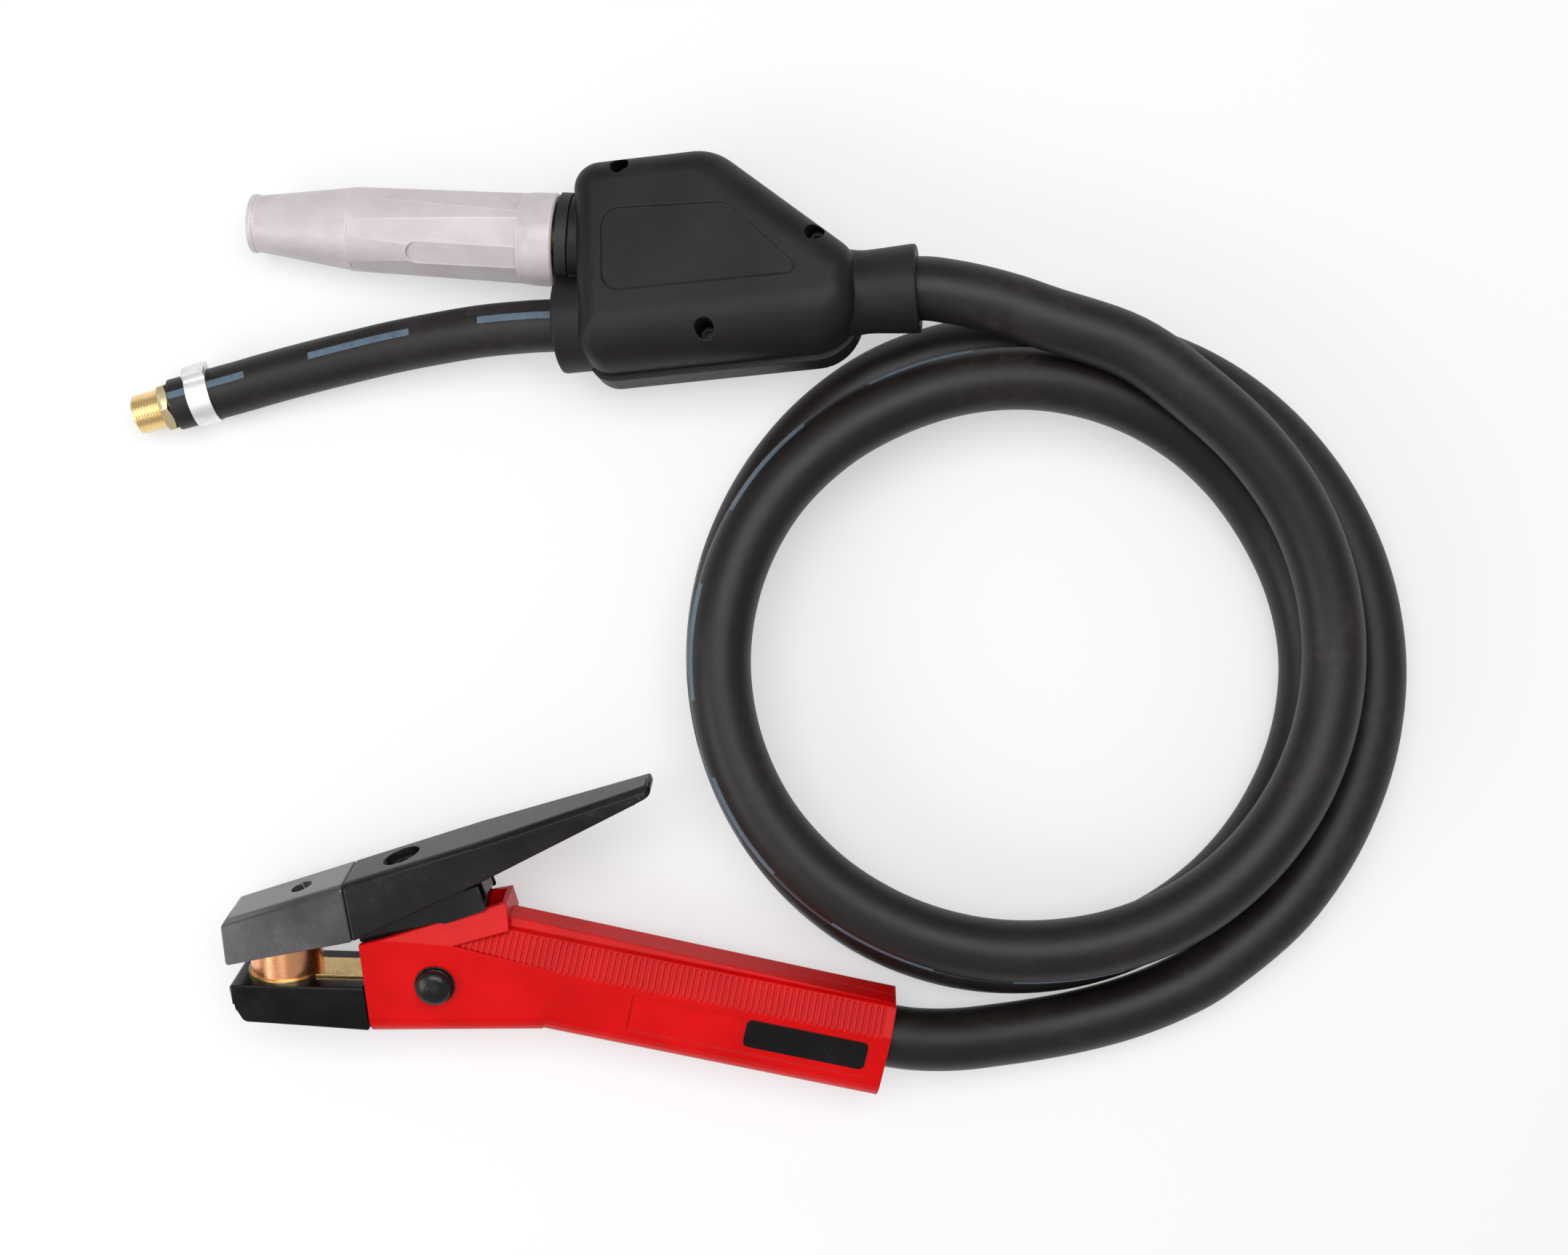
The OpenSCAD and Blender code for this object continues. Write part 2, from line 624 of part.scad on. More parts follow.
module valve_seals() {
    color([0.02, 0.02, 0.02]) at_torch() translate([valve_at.x, valve_at.y, 0]) for (z = seal_places)
        translate([0, 0, z]) intersection() {
            groove(3.7, 1.6);
            cylinder(h = 10, r = spool_d / 2 - 0.01);
        }
}

module button(skirt) {
    r = button_d / 2;
    dome = half + button_out;
    turned = concat([[0, dome]], [for (a = [15:15:75]) [r * sin(a), dome - 3.2 + 3.2 * cos(a)]],
        [[r, dome - 3.2], [r, dome - 4.4], [r - 0.5, dome - 4.8], [r - 0.5, dome - 5.2], [r, dome - 5.6], [r, skirt],
        [spool_r, skirt], [spool_r, 17.5], [2.5, 17.5], [2.5, 20.5], [0, 20.5]]);
    rotate_extrude() polygon(turned);
}

module button_near() {
    color([0.03, 0.03, 0.03]) at_torch() translate([valve_at.x, valve_at.y, 0]) button(near_skirt);
}

module button_far() {
    color([0.03, 0.03, 0.03]) at_torch() translate([valve_at.x, valve_at.y, 0]) mirror([0, 0, 1]) button(far_skirt);
}

module button_rings() {
    color([0.03, 0.03, 0.03]) at_torch() translate([valve_at.x, valve_at.y, 0]) for (s = [0, 1]) mirror([0, 0, s])
        difference() {
            translate([0, 0, inside]) cylinder(h = half - inside + 0.5, r = ring_r);
            cylinder(h = 40, r = button_d / 2 + gap);
        }
}

// ---- swivel at the handle's end ----
nipple_end = -152;
ferrule_end = -52;
hose_start = -80;

module swivel_nipple() {
    color([0.75, 0.58, 0.28]) at_torch() difference() {
        union() {
            bar_x(nipple_end, -112.7, swivel_r - slip);
            bar_x(-112.7, -109.2, 11);
            bar_x(-110, -96, 8);
            bar_x(-97, hose_start - 1, 6);
        }
        bar_x(nipple_end - 1, hose_start, 4);
        for (x = seal_x) ring_x(x, x + 2.4, 7.2, 12);
    }
}

seal_x = [-147, -121];

module swivel_seals() {
    color([0.02, 0.02, 0.02]) at_torch() for (x = seal_x) ring_x(x, x + 2.4, 7.2, swivel_r - 0.02);
}

module swivel_nut() {
    color([0.75, 0.58, 0.28]) at_torch() difference() {
        bar_x(-119, -105, 14);
        bar_x(-120, -113, barrel_r);
        bar_x(-113.5, -108.9, 11.4);
        bar_x(-110, -104, 8.4);
        for (a = [0:60:300]) rotate([a, 0, 0]) translate([-108.9 + 1, -1.5, 12.8]) cube([5, 3, 3]);
    }
}

module torch_ferrule() {
    color([0.7, 0.7, 0.7]) at_torch() hose_cup(-96, hose_start, ferrule_end, 6);
}

// A crimped cup over a hose's end: closed at x0, its floor at x1, open at x2, with a neck hole.
module hose_cup(x0, x1, x2, neck) {
    difference() {
        bar_x(x0, x2, hose_r + 0.8);
        bar_x(x1, x2 + 1, hose_r + 0.05);
        bar_x(x0 - 1, x1 + 1, neck);
        for (x = [x1 + 5:8:x2 - 5]) ring_x(x, x + 2, hose_r + 0.5, hose_r + 2);
    }
}

// ---- soft tubes ----
// A tube is one unbroken mesh: rings of points square to the path, closed at both ends.
hose_sides = 12;

function cross3(a, b) = [a.y * b.z - a.z * b.y, a.z * b.x - a.x * b.z, a.x * b.y - a.y * b.x];
function tangent(p, i) = unit(p[min(i + 1, len(p) - 1)] - p[max(i - 1, 0)]);

// Side direction of the ring at a point: level, and square to the path.
function level(t, up) = unit(cross3(up, t));

module tube(p, r, up = [0, 0, 1], sides = hose_sides) {
    n = len(p);
    pts = [for (i = [0:n - 1]) let (t = tangent(p, i), u = level(t, up), v = cross3(t, u))
        for (k = [0:sides - 1]) let (a = 360 * (k + 0.5) / sides) p[i] + r * (cos(a) * u + sin(a) * v)];
    walls = [for (i = [0:n - 2]) for (k = [0:sides - 1]) let (a = i * sides + k, b = i * sides + (k + 1) % sides)
        [a, a + sides, b + sides, b]];
    polyhedron(points = pts, faces = concat([[for (k = [0:sides - 1]) k]], walls,
        [[for (k = [0:sides - 1]) n * sides - 1 - k]]), convexity = 10);
}

neck_y = -13.7;               // the hose and the whip in the boot's frame
air_y = -18.7;
whip_end = [-174.4, 94.1, 12.2];
whip_yaw = 15.3;
whip_rise = 0.5;

// Where a local point of the torch, boot, connector or whip fitting lies in the part's frame.
function turned(p, a) = let (
    q = [p.x, p.y * cos(a.x) - p.z * sin(a.x), p.y * sin(a.x) + p.z * cos(a.x)],
    s = [q.x * cos(a.y) + q.z * sin(a.y), q.y, -q.x * sin(a.y) + q.z * cos(a.y)])
    [s.x * cos(a.z) - s.y * sin(a.z), s.x * sin(a.z) + s.y * cos(a.z), s.z];
function torch_point(p) = torch_at + turned(p, [torch_roll, torch_pitch, torch_yaw]);
function boot_point(p) = boot_at + turned(p, [-boot_roll, -boot_pitch, boot_yaw]);
function whip_point(s) = whip_end + turned([s, 0, 0], [0, -whip_rise, whip_yaw]);

// The loops, every 30 degrees clockwise from the boot: [radius, height of the hose's centre].
loops = [[139.5, 51.6], [124.5, 51.8], [121, 46], [121, 40.2], [121, 40.2], [122, 40.2], [123.5, 40.2],
    [128.5, 40.2], [134.5, 40.2], [136, 40.2], [131.5, 40.2], [122.5, 37], [116.5, 33.5], [113, 27], [113.5, 15],
    [117.5, 12.9], [120.5, 12.9], [125.6, 12.9], [132, 12.9], [136.6, 12.9], [138, 12.9], [138, 12.9], [137.5, 12.9],
    [137, 12.9], [134.4, 12.9], [137.6, 12.9], [141, 12.9], [145.5, 12.9], [149.2, 12.9], [154, 12.9]];
function mid(a, b, c, d) = (9 * (b + c) - a - d) / 16;
function loop_at(i, half_step) = !half_step ? loops[i] :
    mid(loops[max(i - 1, 0)], loops[i], loops[i + 1], loops[min(i + 2, len(loops) - 1)]);
function on_coil(turn, rz) = [coil_at.x + rz[0] * cos(turn), coil_at.y + rz[0] * sin(turn), rz[1]];
coil = [for (i = [0:len(loops) - 1]) for (h = [0, 1]) if (h == 0 || i < len(loops) - 1)
    on_coil(90 - 30 * i - 15 * h, loop_at(i, h == 1))];

// From the boot to the loops, and from the loops to the handle.
hose_lead_in = [[156, 137, 49.9], [169, 134.3, 50.6], [183, 130.5, 50.6]];
hose_tail = [[255.6, -158, 12.9], [235.8, -165.8, 12.9], [216, -171.2, 13.1], [197, -174.8, 13.8],
    [178, -177.2, 15.6], [163, -178.4, 17.8], [148, -178.2, 19.6]];
hose_path = concat([for (x = [97, 120, 143]) boot_point([x, neck_y, 0])], hose_lead_in, coil, hose_tail,
    [for (x = [2, -26, -54, hose_start]) torch_point([x, 0, 0])]);

// From the boot to the whip's fitting.
whip_route = [[-20, 125.7, 26.4], [-40, 124.2, 24], [-60, 121.4, 21.2], [-80, 117.9, 18.5], [-100, 113.6, 16],
    [-120, 108.9, 14], [-135, 105, 12.9]];
whip_path = concat([for (x = [28, 9, -9]) boot_point([x, air_y, 0])], whip_route,
    [for (s = [30, 20, 10, 0]) whip_point(s)]);

// Least gap of a tube to itself, between points further apart along it than three of its radii.
function least_gap(p, r, skip) = min([for (i = [0:len(p) - 1]) for (j = [i + skip:len(p) - 1])
    norm(p[i] - p[j])]) - 2 * r;

module main_hose() {
    echo(hose_rings = len(hose_path), least_gap = least_gap(dense(hose_path), hose_r, 30));
    color([0.06, 0.06, 0.06]) tube(hose_path, hose_r);
}

// The path with five more points on each straight between its rings.
function dense(p) = [for (i = [0:len(p) - 2]) for (k = [0:5]) p[i] + (p[i + 1] - p[i]) * k / 6];

module air_hose() {
    echo(whip_rings = len(whip_path), least_gap = least_gap(dense(whip_path), whip_r, 18));
    color([0.06, 0.06, 0.06]) tube(whip_path, whip_r);
}

// The lever's compression spring, a helix with its axis along the lever frame's Y.
spring_turns = 6;
spring_rings = 16;

module lever_spring() {
    low = spring_seat_h + spring_wire / 2;
    high = spring_top_h - spring_wire / 2;
    p = [for (i = [0:spring_turns * spring_rings]) let (a = 360 * i / spring_rings)
        [spring_t + spring_d / 2 * cos(a), low + (high - low) * i / (spring_turns * spring_rings),
            spring_d / 2 * sin(a)]];
    echo(spring_rings = len(p), least_gap = least_gap(p, spring_wire / 2, floor(spring_rings / 2)));
    color([0.6, 0.6, 0.6]) at_lever() tube(p, spring_wire / 2, [0, 1, 0], 8);
}

// ---- boot ----
boot_edge = 11;               // radius of the boot's long edges
boot_outline = [[1.5, 45.6, 8], [62, 47.8, 17], [118, 0.5, 10], [119.5, -34, 8], [106, -39.4, 6], [2.5, -43.3, 6]];
boot_inner = [[4.5, 42.7, 5], [60.8, 44.7, 14], [115, -1.2, 7], [116.4, -32, 5], [105, -36.4, 3], [5.4, -40.1, 3]];
boot_screw_at = [[22.2, 41.4], [102.6, 6.9], [56.2, -30.4]];
ledge = 0.7;

// The boot's rounded body, its walls moved in by a distance.
module boot_body(inset) {
    low = -boot_base_h + inset;
    high = boot_top_h - inset;
    r = boot_edge - inset;
    side = [[low, -43.3 + inset, r], [low, 47.8 - inset, r], [high, 47.8 - inset, r], [high, -43.3 + inset, r]];
    front = [[low, 1.5 + inset, r], [high, 1.5 + inset, r], [high, 119.5 - inset, r], [low, 119.5 - inset, r]];
    slant = [[low, -200, 0], [low, -inset, r], [high, -inset, r], [high, -200, 0]];
    intersection() {
        translate([0, 0, -40]) linear_extrude(height = 80) polygon(rounded(inset > 0 ? boot_inner : boot_outline));
        translate([-10, 0, 0]) rotate([90, 0, 90]) linear_extrude(height = 140) polygon([for (c = rounded(side)) [c.y, c.x]]);
        translate([0, 80, 0]) rotate([90, 0, 0]) linear_extrude(height = 160) polygon([for (c = rounded(front)) [c.y, c.x]]);
        translate([62, 47.8, 0]) rotate([0, 0, -40.2]) translate([-100, 0, 0]) rotate([90, 0, 90])
            linear_extrude(height = 250) polygon([for (c = rounded(slant)) [c.y, c.x]]);
    }
}

module boot_keep(top) {
    at_boot() translate([-60, -80, top ? 0 : -60]) cube([260, 160, 60]);
}

module boot_half(top) {
    difference() {
        intersection() {
            union() {
                at_boot() {
                    boot_body(0);
                    bar_x(112, 116 + neck_l, neck_d / 2, neck_y);
                    bar_x(-9, 10, air_neck_d / 2, air_y);
                    if (!top) translate([0, 0, -6]) linear_extrude(height = 6) polygon(rounded([
                        [30, -42.2 - ledge, 3], [104, -39.1 - ledge, 3], [104, -30, 0], [30, -30, 0]]));
                }
                at_plug() bar_x(1.5, 12, seal_r);
            }
            boot_keep(top);
        }
        at_boot() {
            difference() {
                boot_body(boot_wall);
                for (p = boot_screw_at) translate([p.x, p.y, -40]) cylinder(h = 80, r = screw_bore_d / 2 + 2.2);
            }
            bar_x(108, 160, hose_r + 0.15, neck_y);
            bar_x(-20, 20, whip_r + 0.2, air_y);
            bar_x(-20, -4, whip_r + 5, air_y);
            for (p = boot_screw_at) translate([p.x, p.y, -40]) {
                cylinder(h = 80, r = screw_r);
                translate([0, 0, 40 + boot_screw_seat]) cylinder(h = 40, d = screw_bore_d);
            }
            if (top) translate([0, 0, boot_top_h - 0.9]) linear_extrude(height = 5)
                polygon(rounded([[14.5, 22.5, 8], [67.5, 21.3, 9], [95.5, -7.5, 3], [92.5, -10.8, 2], [14.2, -12.8, 7]]));
        }
        at_plug() bar_x(-10, 30, plug_d / 2);
    }
}

boot_screw_seat = 8;

module boot_top() { color([0.07, 0.07, 0.07]) boot_half(true); }
module boot_base() { color([0.07, 0.07, 0.07]) boot_half(false); }

module boot_screws() {
    color([0.3, 0.3, 0.3]) at_boot() for (p = boot_screw_at) translate([p.x, p.y, 0]) difference() {
        union() {
            translate([0, 0, boot_screw_seat]) cylinder(h = 2.6, r = screw_head_r);
            translate([0, 0, -14]) cylinder(h = 15 + boot_screw_seat, r = screw_r);
        }
        translate([0, 0, boot_screw_seat + 1]) cylinder(h = 3, d = 3.4, $fn = 6);
    }
}

// ---- inside the boot ----
block_x = [42, 82];

module junction_block() {
    color([0.72, 0.53, 0.25]) difference() {
        at_boot() union() {
            translate([0, 0, -12.5]) linear_extrude(height = 23) polygon(rounded([[block_x[0] - 2, -26, 0],
                [block_x[0] + 2.4, -26, 0], [block_x[0] + 2.4, -20, 0], [block_x[1], -20, 2], [block_x[1], -2, 6],
                [block_x[0] + 26, 23, 3], [block_x[0], 23, 3], [block_x[0] - 2, -8, 0]]));
        }
        at_plug() bar_x(10, 62, tail_r);
        at_boot() {
            bar_x(block_x[1] - 8, block_x[1] + 1, 6, neck_y);
            bar_x(block_x[0] - 3, block_x[0] - 1 + 0.5, 3.5, air_y);
        }
    }
}

module cable_ferrule() {
    color([0.7, 0.7, 0.7]) at_boot() difference() {
        union() {
            bar_x(block_x[1] - 8, block_x[1] + 6, 6, neck_y);
            bar_x(block_x[1] + 4, 104, hose_r + 1, neck_y);
        }
        bar_x(97, 108, hose_r + 0.05, neck_y);
        for (x = [98, 101]) ring_at(x, x + 1.5, hose_r + 0.7, neck_y);
    }
}

// A shallow groove round a bar along X.
module ring_at(x0, x1, r, y) {
    difference() {
        bar_x(x0, x1, r + 3, y);
        bar_x(x0 - 1, x1 + 1, r, y);
    }
}

module air_nipple() {
    color([0.75, 0.6, 0.3]) at_boot() difference() {
        union() {
            bar_x(block_x[0] - 3, block_x[0] - 1.5, 3.5, air_y);
            bar_x(32, block_x[0] - 2, 6.5, air_y);
            bar_x(28, 34, 5, air_y);
        }
        bar_x(27, block_x[0], 2.5, air_y);
    }
}

module whip_ferrule() {
    color([0.7, 0.7, 0.7]) at_boot() difference() {
        bar_x(18, 30, whip_r + 1.2, air_y);
        bar_x(17, 28, whip_r + 0.05, air_y);
        bar_x(27, 31, 5, air_y);
        for (x = [20.5, 24.5]) ring_at(x, x + 1.5, whip_r + 0.8, air_y);
    }
}

// ---- power connector, its axis along X: the sleeve points to -X ----
tail_r = 6.5;
pin_r = plug_d / 2;
flange_r = 14;
seal_r = 20.2;                // the seal covers the plug's flange
socket_r = 13;
sleeve_x = -5;
nose_x = -sleeve_l;
shoulder_x = -93;
body_d = 38;
flat_r = 17.5;                // the body's flats lie this far from its axis
flat_lean = 0.2;              // and come nearer to it by this many degrees

module power_plug() {
    color([0.75, 0.58, 0.28]) at_plug() difference() {
        union() {
            bar_x(-74, 8, pin_r);
            bar_x(7, 62, tail_r);
            bar_x(-0.5, 1.5, flange_r);
        }
        translate([-78, -30, pin_r - 1.6]) cube([26, 60, 10]);
    }
}

// The seal's rim is cut away beside the air whip's neck.
module flange_seal() {
    color([0.02, 0.02, 0.02]) difference() {
        at_plug() difference() {
            bar_x(-3.5, 1.4, seal_r);
            bar_x(-4, 2, pin_r);
            bar_x(-0.5, 2, flange_r);
        }
        at_boot() bar_x(-10, 10, air_neck_d / 2 + 0.1, air_y);
    }
}

module power_socket() {
    color([0.75, 0.58, 0.28]) at_plug() difference() {
        bar_x(-114, -12, socket_r);
        bar_x(-76, -11, pin_r + slip);
        bar_x(-115, -84, liner_bore_d / 2);
        translate([-104, 0, 0]) cylinder(h = 20, r = 3);
        for (x = [-60:12:-36]) ring_x(x, x + 2, socket_r - 0.6, 20);
    }
}

module cable_screw() {
    color([0.25, 0.25, 0.25]) at_plug() translate([-104, 0, liner_bore_d / 2 + 0.2]) difference() {
        cylinder(h = 5, r = 2.9);
        translate([0, 0, 2.6]) cylinder(h = 3, d = 3.4, $fn = 6);
    }
}

// The sleeve is turned, then given six flats, and has a long recess along one of the ribs left between them.
module connector_sleeve() {
    r = body_d / 2;
    rs = shoulder_d / 2;
    rn = nose_d / 2;
    outline = [[nose_x, rn - 0.4], [nose_x, rn + 0.3], [nose_x + 1.6, rn + 0.5], [nose_x + 3, rn],
        [shoulder_x - 3, rs - 0.6], [shoulder_x, rs], [-19, r], [-17, r + 0.2], [-16.2, collar_d / 2 - 0.4],
        [-15, collar_d / 2 - 0.2], [sleeve_x - 1, collar_d / 2], [sleeve_x, collar_d / 2 - 0.8]];
    bore = [[sleeve_x, 17], [-11, 17], [-13, socket_r], [-114, socket_r], [-118, nose_bore / 2], [nose_x, nose_bore / 2]];
    color([0.72, 0.69, 0.71, 0.85]) at_plug() difference() {
        rotate([0, 90, 0]) rotate_extrude() polygon([for (p = concat(outline, bore)) [p.y, p.x]]);
        for (k = [0:5]) rotate([68.6 + 60 * k, 0, 0]) translate([-92, -10, flat_r]) rotate([0, flat_lean, 0])
            cube([72, 20, 6]);
        rotate([38.6, 0, 0]) translate([-67, -5, r - 2]) rounded_slot(47, 10);
    }
}

module rounded_slot(l, w) {
    linear_extrude(height = 10) polygon(rounded([[0, 0, w / 2 - 0.1], [l, 0, 1], [l, w, 1], [0, w, w / 2 - 0.1]]));
}

// ---- air whip's fitting, its axis along X: the thread points to -X ----
hex_l = 5;
clamp_s = 12.8;
ear_turn = -50;
ear_h = 2.2;                  // the ear stands this far above the band

module at_whip() { translate(whip_end) rotate([0, -whip_rise, whip_yaw]) children(); }

module ear_clamp() {
    r = whip_r + clamp_t;
    color([0.8, 0.8, 0.8]) at_whip() translate([clamp_s - clamp_w / 2, 0, 0]) rotate([ear_turn, 0, 0]) difference() {
        union() {
            bar_x(0, clamp_w, r);
            translate([0, -3.4, r - 1.4]) cube([clamp_w, 1, ear_h + 1.4]);
            translate([0, 2.4, r - 1.4]) cube([clamp_w, 1, ear_h + 1.4]);
            translate([0, -3.4, r + ear_h - 1]) cube([clamp_w, 6.8, 1]);
            translate([0, 3, r - 2.8]) cube([clamp_w, 6.5, 2]);
        }
        bar_x(-1, clamp_w + 1, whip_r + 0.05);
    }
}

module air_fitting() {
    tip = -hex_l - thread_l;
    n = 8;
    pitch = (thread_l - 1.5) / n;
    top = thread_d / 2;
    threads = [for (i = [0:n - 1]) each [[top - 0.9, tip + 1 + i * pitch], [top, tip + 1 + (i + 0.4) * pitch],
        [top, tip + 1 + (i + 0.6) * pitch]]];
    color([0.85, 0.65, 0.25]) at_whip() difference() {
        union() {
            rotate([90, 0, 90]) translate([0, 0, -hex_l]) cylinder(h = hex_l - 0.6, d = hex_af / cos(30), $fn = 6);
            bar_x(-0.8, 0, 9);
            rotate([0, 90, 0]) rotate_extrude() polygon(concat([[0, tip], [top - 1.6, tip]], threads,
                [[top - 0.9, -hex_l - 0.4], [top - 0.9, -hex_l + 1], [0, -hex_l + 1]]));
        }
        bar_x(tip - 1, 1, whip_bore / 2);
    }
}

handle_near();
handle_far();
name_label();
handle_screws();
torch_body();
lower_insulator();
insulator_screw();
head();
head_washer();
head_screw();
upper_arm();
front_insulator();
lever_grip();
pivot_block();
lever_screws();
pivot_pin();
pin_clips();
lever_spring();
valve_spool();
valve_seals();
button_near();
button_far();
button_rings();
swivel_nipple();
swivel_seals();
swivel_nut();
torch_ferrule();
main_hose();
boot_top();
boot_base();
boot_screws();
junction_block();
cable_ferrule();
air_nipple();
whip_ferrule();
power_plug();
flange_seal();
power_socket();
connector_sleeve();
cable_screw();
air_hose();
ear_clamp();
air_fitting();
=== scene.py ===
"""Looks of an air carbon-arc gouging torch and its swivel cable set, laid out on a bench.

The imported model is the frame. The script sweeps the two rubber hoses, turns the air fitting with its
pipe thread, dresses every rigid part with its finish, and sets the bench, the soft lights and the
camera above them. Lengths are metres; +Z is up from the bench, +Y runs from the torch to the boot.
"""

import json
import logging
import math
from dataclasses import dataclass, field
from enum import Enum
from typing import Any, Sequence, Union

import bmesh
import bpy
import numpy as np
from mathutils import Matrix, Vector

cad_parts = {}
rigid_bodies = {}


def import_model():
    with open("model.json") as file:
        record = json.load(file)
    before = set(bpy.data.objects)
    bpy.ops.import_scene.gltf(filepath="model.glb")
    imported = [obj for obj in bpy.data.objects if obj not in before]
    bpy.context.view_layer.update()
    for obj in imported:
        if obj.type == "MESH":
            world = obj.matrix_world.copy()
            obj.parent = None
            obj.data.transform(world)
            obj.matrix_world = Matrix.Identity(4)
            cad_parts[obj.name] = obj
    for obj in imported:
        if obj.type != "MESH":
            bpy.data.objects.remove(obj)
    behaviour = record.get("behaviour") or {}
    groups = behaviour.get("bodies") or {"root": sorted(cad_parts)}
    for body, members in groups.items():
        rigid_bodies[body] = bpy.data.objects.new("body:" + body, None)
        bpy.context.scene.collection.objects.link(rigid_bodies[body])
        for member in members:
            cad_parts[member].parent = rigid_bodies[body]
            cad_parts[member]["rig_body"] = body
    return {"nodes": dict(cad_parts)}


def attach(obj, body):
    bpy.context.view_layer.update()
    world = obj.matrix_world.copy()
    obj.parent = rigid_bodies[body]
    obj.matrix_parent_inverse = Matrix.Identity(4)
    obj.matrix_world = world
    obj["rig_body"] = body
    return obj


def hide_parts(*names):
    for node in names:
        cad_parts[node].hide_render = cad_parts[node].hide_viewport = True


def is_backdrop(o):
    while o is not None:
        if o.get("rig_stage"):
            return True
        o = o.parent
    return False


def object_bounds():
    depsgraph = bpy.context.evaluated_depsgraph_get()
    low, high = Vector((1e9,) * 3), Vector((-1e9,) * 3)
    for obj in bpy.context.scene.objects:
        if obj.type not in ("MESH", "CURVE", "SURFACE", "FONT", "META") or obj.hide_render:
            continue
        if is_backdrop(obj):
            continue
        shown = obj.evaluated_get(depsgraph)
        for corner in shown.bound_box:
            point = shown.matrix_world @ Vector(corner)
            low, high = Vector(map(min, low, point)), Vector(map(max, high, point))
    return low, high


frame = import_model()

LOG = logging.getLogger("gouging_torch")

Colour = tuple[float, float, float]
Point = tuple[float, float, float]
Operand = Union["Value", float]

HOSE_ROUTE: tuple[Point, ...] = (
    (0.12109, 0.13724, 0.04559), (0.14384, 0.13835, 0.04879), (0.156, 0.137, 0.0499),
    (0.169, 0.1343, 0.0506), (0.183, 0.1305, 0.0506), (0.197, 0.1255, 0.0516), (0.23122, 0.11371, 0.05206),
    (0.25925, 0.09382, 0.0518), (0.28313, 0.07213, 0.04927), (0.30179, 0.0465, 0.046),
    (0.31367, 0.01726, 0.04274), (0.318, -0.014, 0.0402), (0.31382, -0.0453, 0.03984),
    (0.30179, -0.0745, 0.0402), (0.28285, -0.09985, 0.0402), (0.258, -0.11965, 0.0402),
    (0.22871, -0.13233, 0.0402), (0.197, -0.1375, 0.0402), (0.16446, -0.13543, 0.0402),
    (0.13275, -0.12528, 0.0402), (0.10386, -0.10714, 0.0402), (0.08052, -0.08125, 0.0402),
    (0.06572, -0.04918, 0.0402), (0.061, -0.014, 0.0402), (0.06717, 0.02079, 0.0404),
    (0.08312, 0.05175, 0.0402), (0.10713, 0.07587, 0.03882), (0.13575, 0.09209, 0.037),
    (0.16616, 0.1011, 0.03546), (0.197, 0.1025, 0.0335), (0.22659, 0.09645, 0.03078),
    (0.2535, 0.08386, 0.027), (0.27675, 0.06575, 0.02073), (0.29529, 0.04275, 0.015),
    (0.30841, 0.01585, 0.0132), (0.3145, -0.014, 0.0129), (0.31188, -0.04478, 0.01277),
    (0.30136, -0.07425, 0.0129), (0.28386, -0.10086, 0.0129), (0.2598, -0.12277, 0.0129),
    (0.23034, -0.13844, 0.0129), (0.197, -0.146, 0.0129), (0.16216, -0.14403, 0.0129),
    (0.1287, -0.1323, 0.0129), (0.09971, -0.11129, 0.0129), (0.07749, -0.083, 0.0129),
    (0.06359, -0.04975, 0.0129), (0.059, -0.014, 0.0129), (0.06391, 0.02166, 0.0129),
    (0.07792, 0.05475, 0.0129), (0.09986, 0.08314, 0.0129), (0.1285, 0.10465, 0.0129),
    (0.16194, 0.11685, 0.0129), (0.197, 0.1204, 0.0129), (0.2321, 0.117, 0.0129), (0.2658, 0.10517, 0.0129),
    (0.29544, 0.08444, 0.0129), (0.31911, 0.0565, 0.0129), (0.33535, 0.02307, 0.0129),
    (0.3425, -0.014, 0.0129), (0.33931, -0.05213, 0.0129), (0.32621, -0.0886, 0.0129),
    (0.30436, -0.12136, 0.0129), (0.274, -0.14737, 0.0129), (0.2556, -0.158, 0.0129),
    (0.2358, -0.1658, 0.0129), (0.216, -0.1712, 0.0131), (0.197, -0.1748, 0.0138), (0.178, -0.1772, 0.0156),
    (0.163, -0.1784, 0.0178), (0.148, -0.1782, 0.0196), (0.13396, -0.17641, 0.02104),
    (0.10655, -0.17073, 0.02183), (0.07914, -0.16505, 0.02261), (0.05369, -0.15978, 0.02333),
)
WHIP_ROUTE: tuple[Point, ...] = (
    (0.01644, 0.12717, 0.03153), (0.01144, 0.12692, 0.03083), (-0.00636, 0.12605, 0.02832),
    (-0.02, 0.1257, 0.0264), (-0.04, 0.1242, 0.024), (-0.06, 0.1214, 0.0212), (-0.08, 0.1179, 0.0185),
    (-0.1, 0.1136, 0.016), (-0.12, 0.1089, 0.014), (-0.135, 0.105, 0.0129), (-0.14546, 0.10202, 0.01246),
    (-0.15511, 0.09938, 0.01237), (-0.16475, 0.09674, 0.01229), (-0.1744, 0.0941, 0.0122),
)


def linear(red: int, green: int, blue: int) -> Colour:
    """Linear colour of an 8-bit one: c / 12.92 where c <= 0.04045, else ((c + 0.055) / 1.055) ** 2.4.

    Args:
        red: red, 0 to 255.
        green: green, 0 to 255.
        blue: blue, 0 to 255.

    Returns:
        The three linear channels.
    """
    channels = (c / 255 for c in (red, green, blue))
    return tuple(c / 12.92 if c <= 0.04045 else ((c + 0.055) / 1.055) ** 2.4 for c in channels)


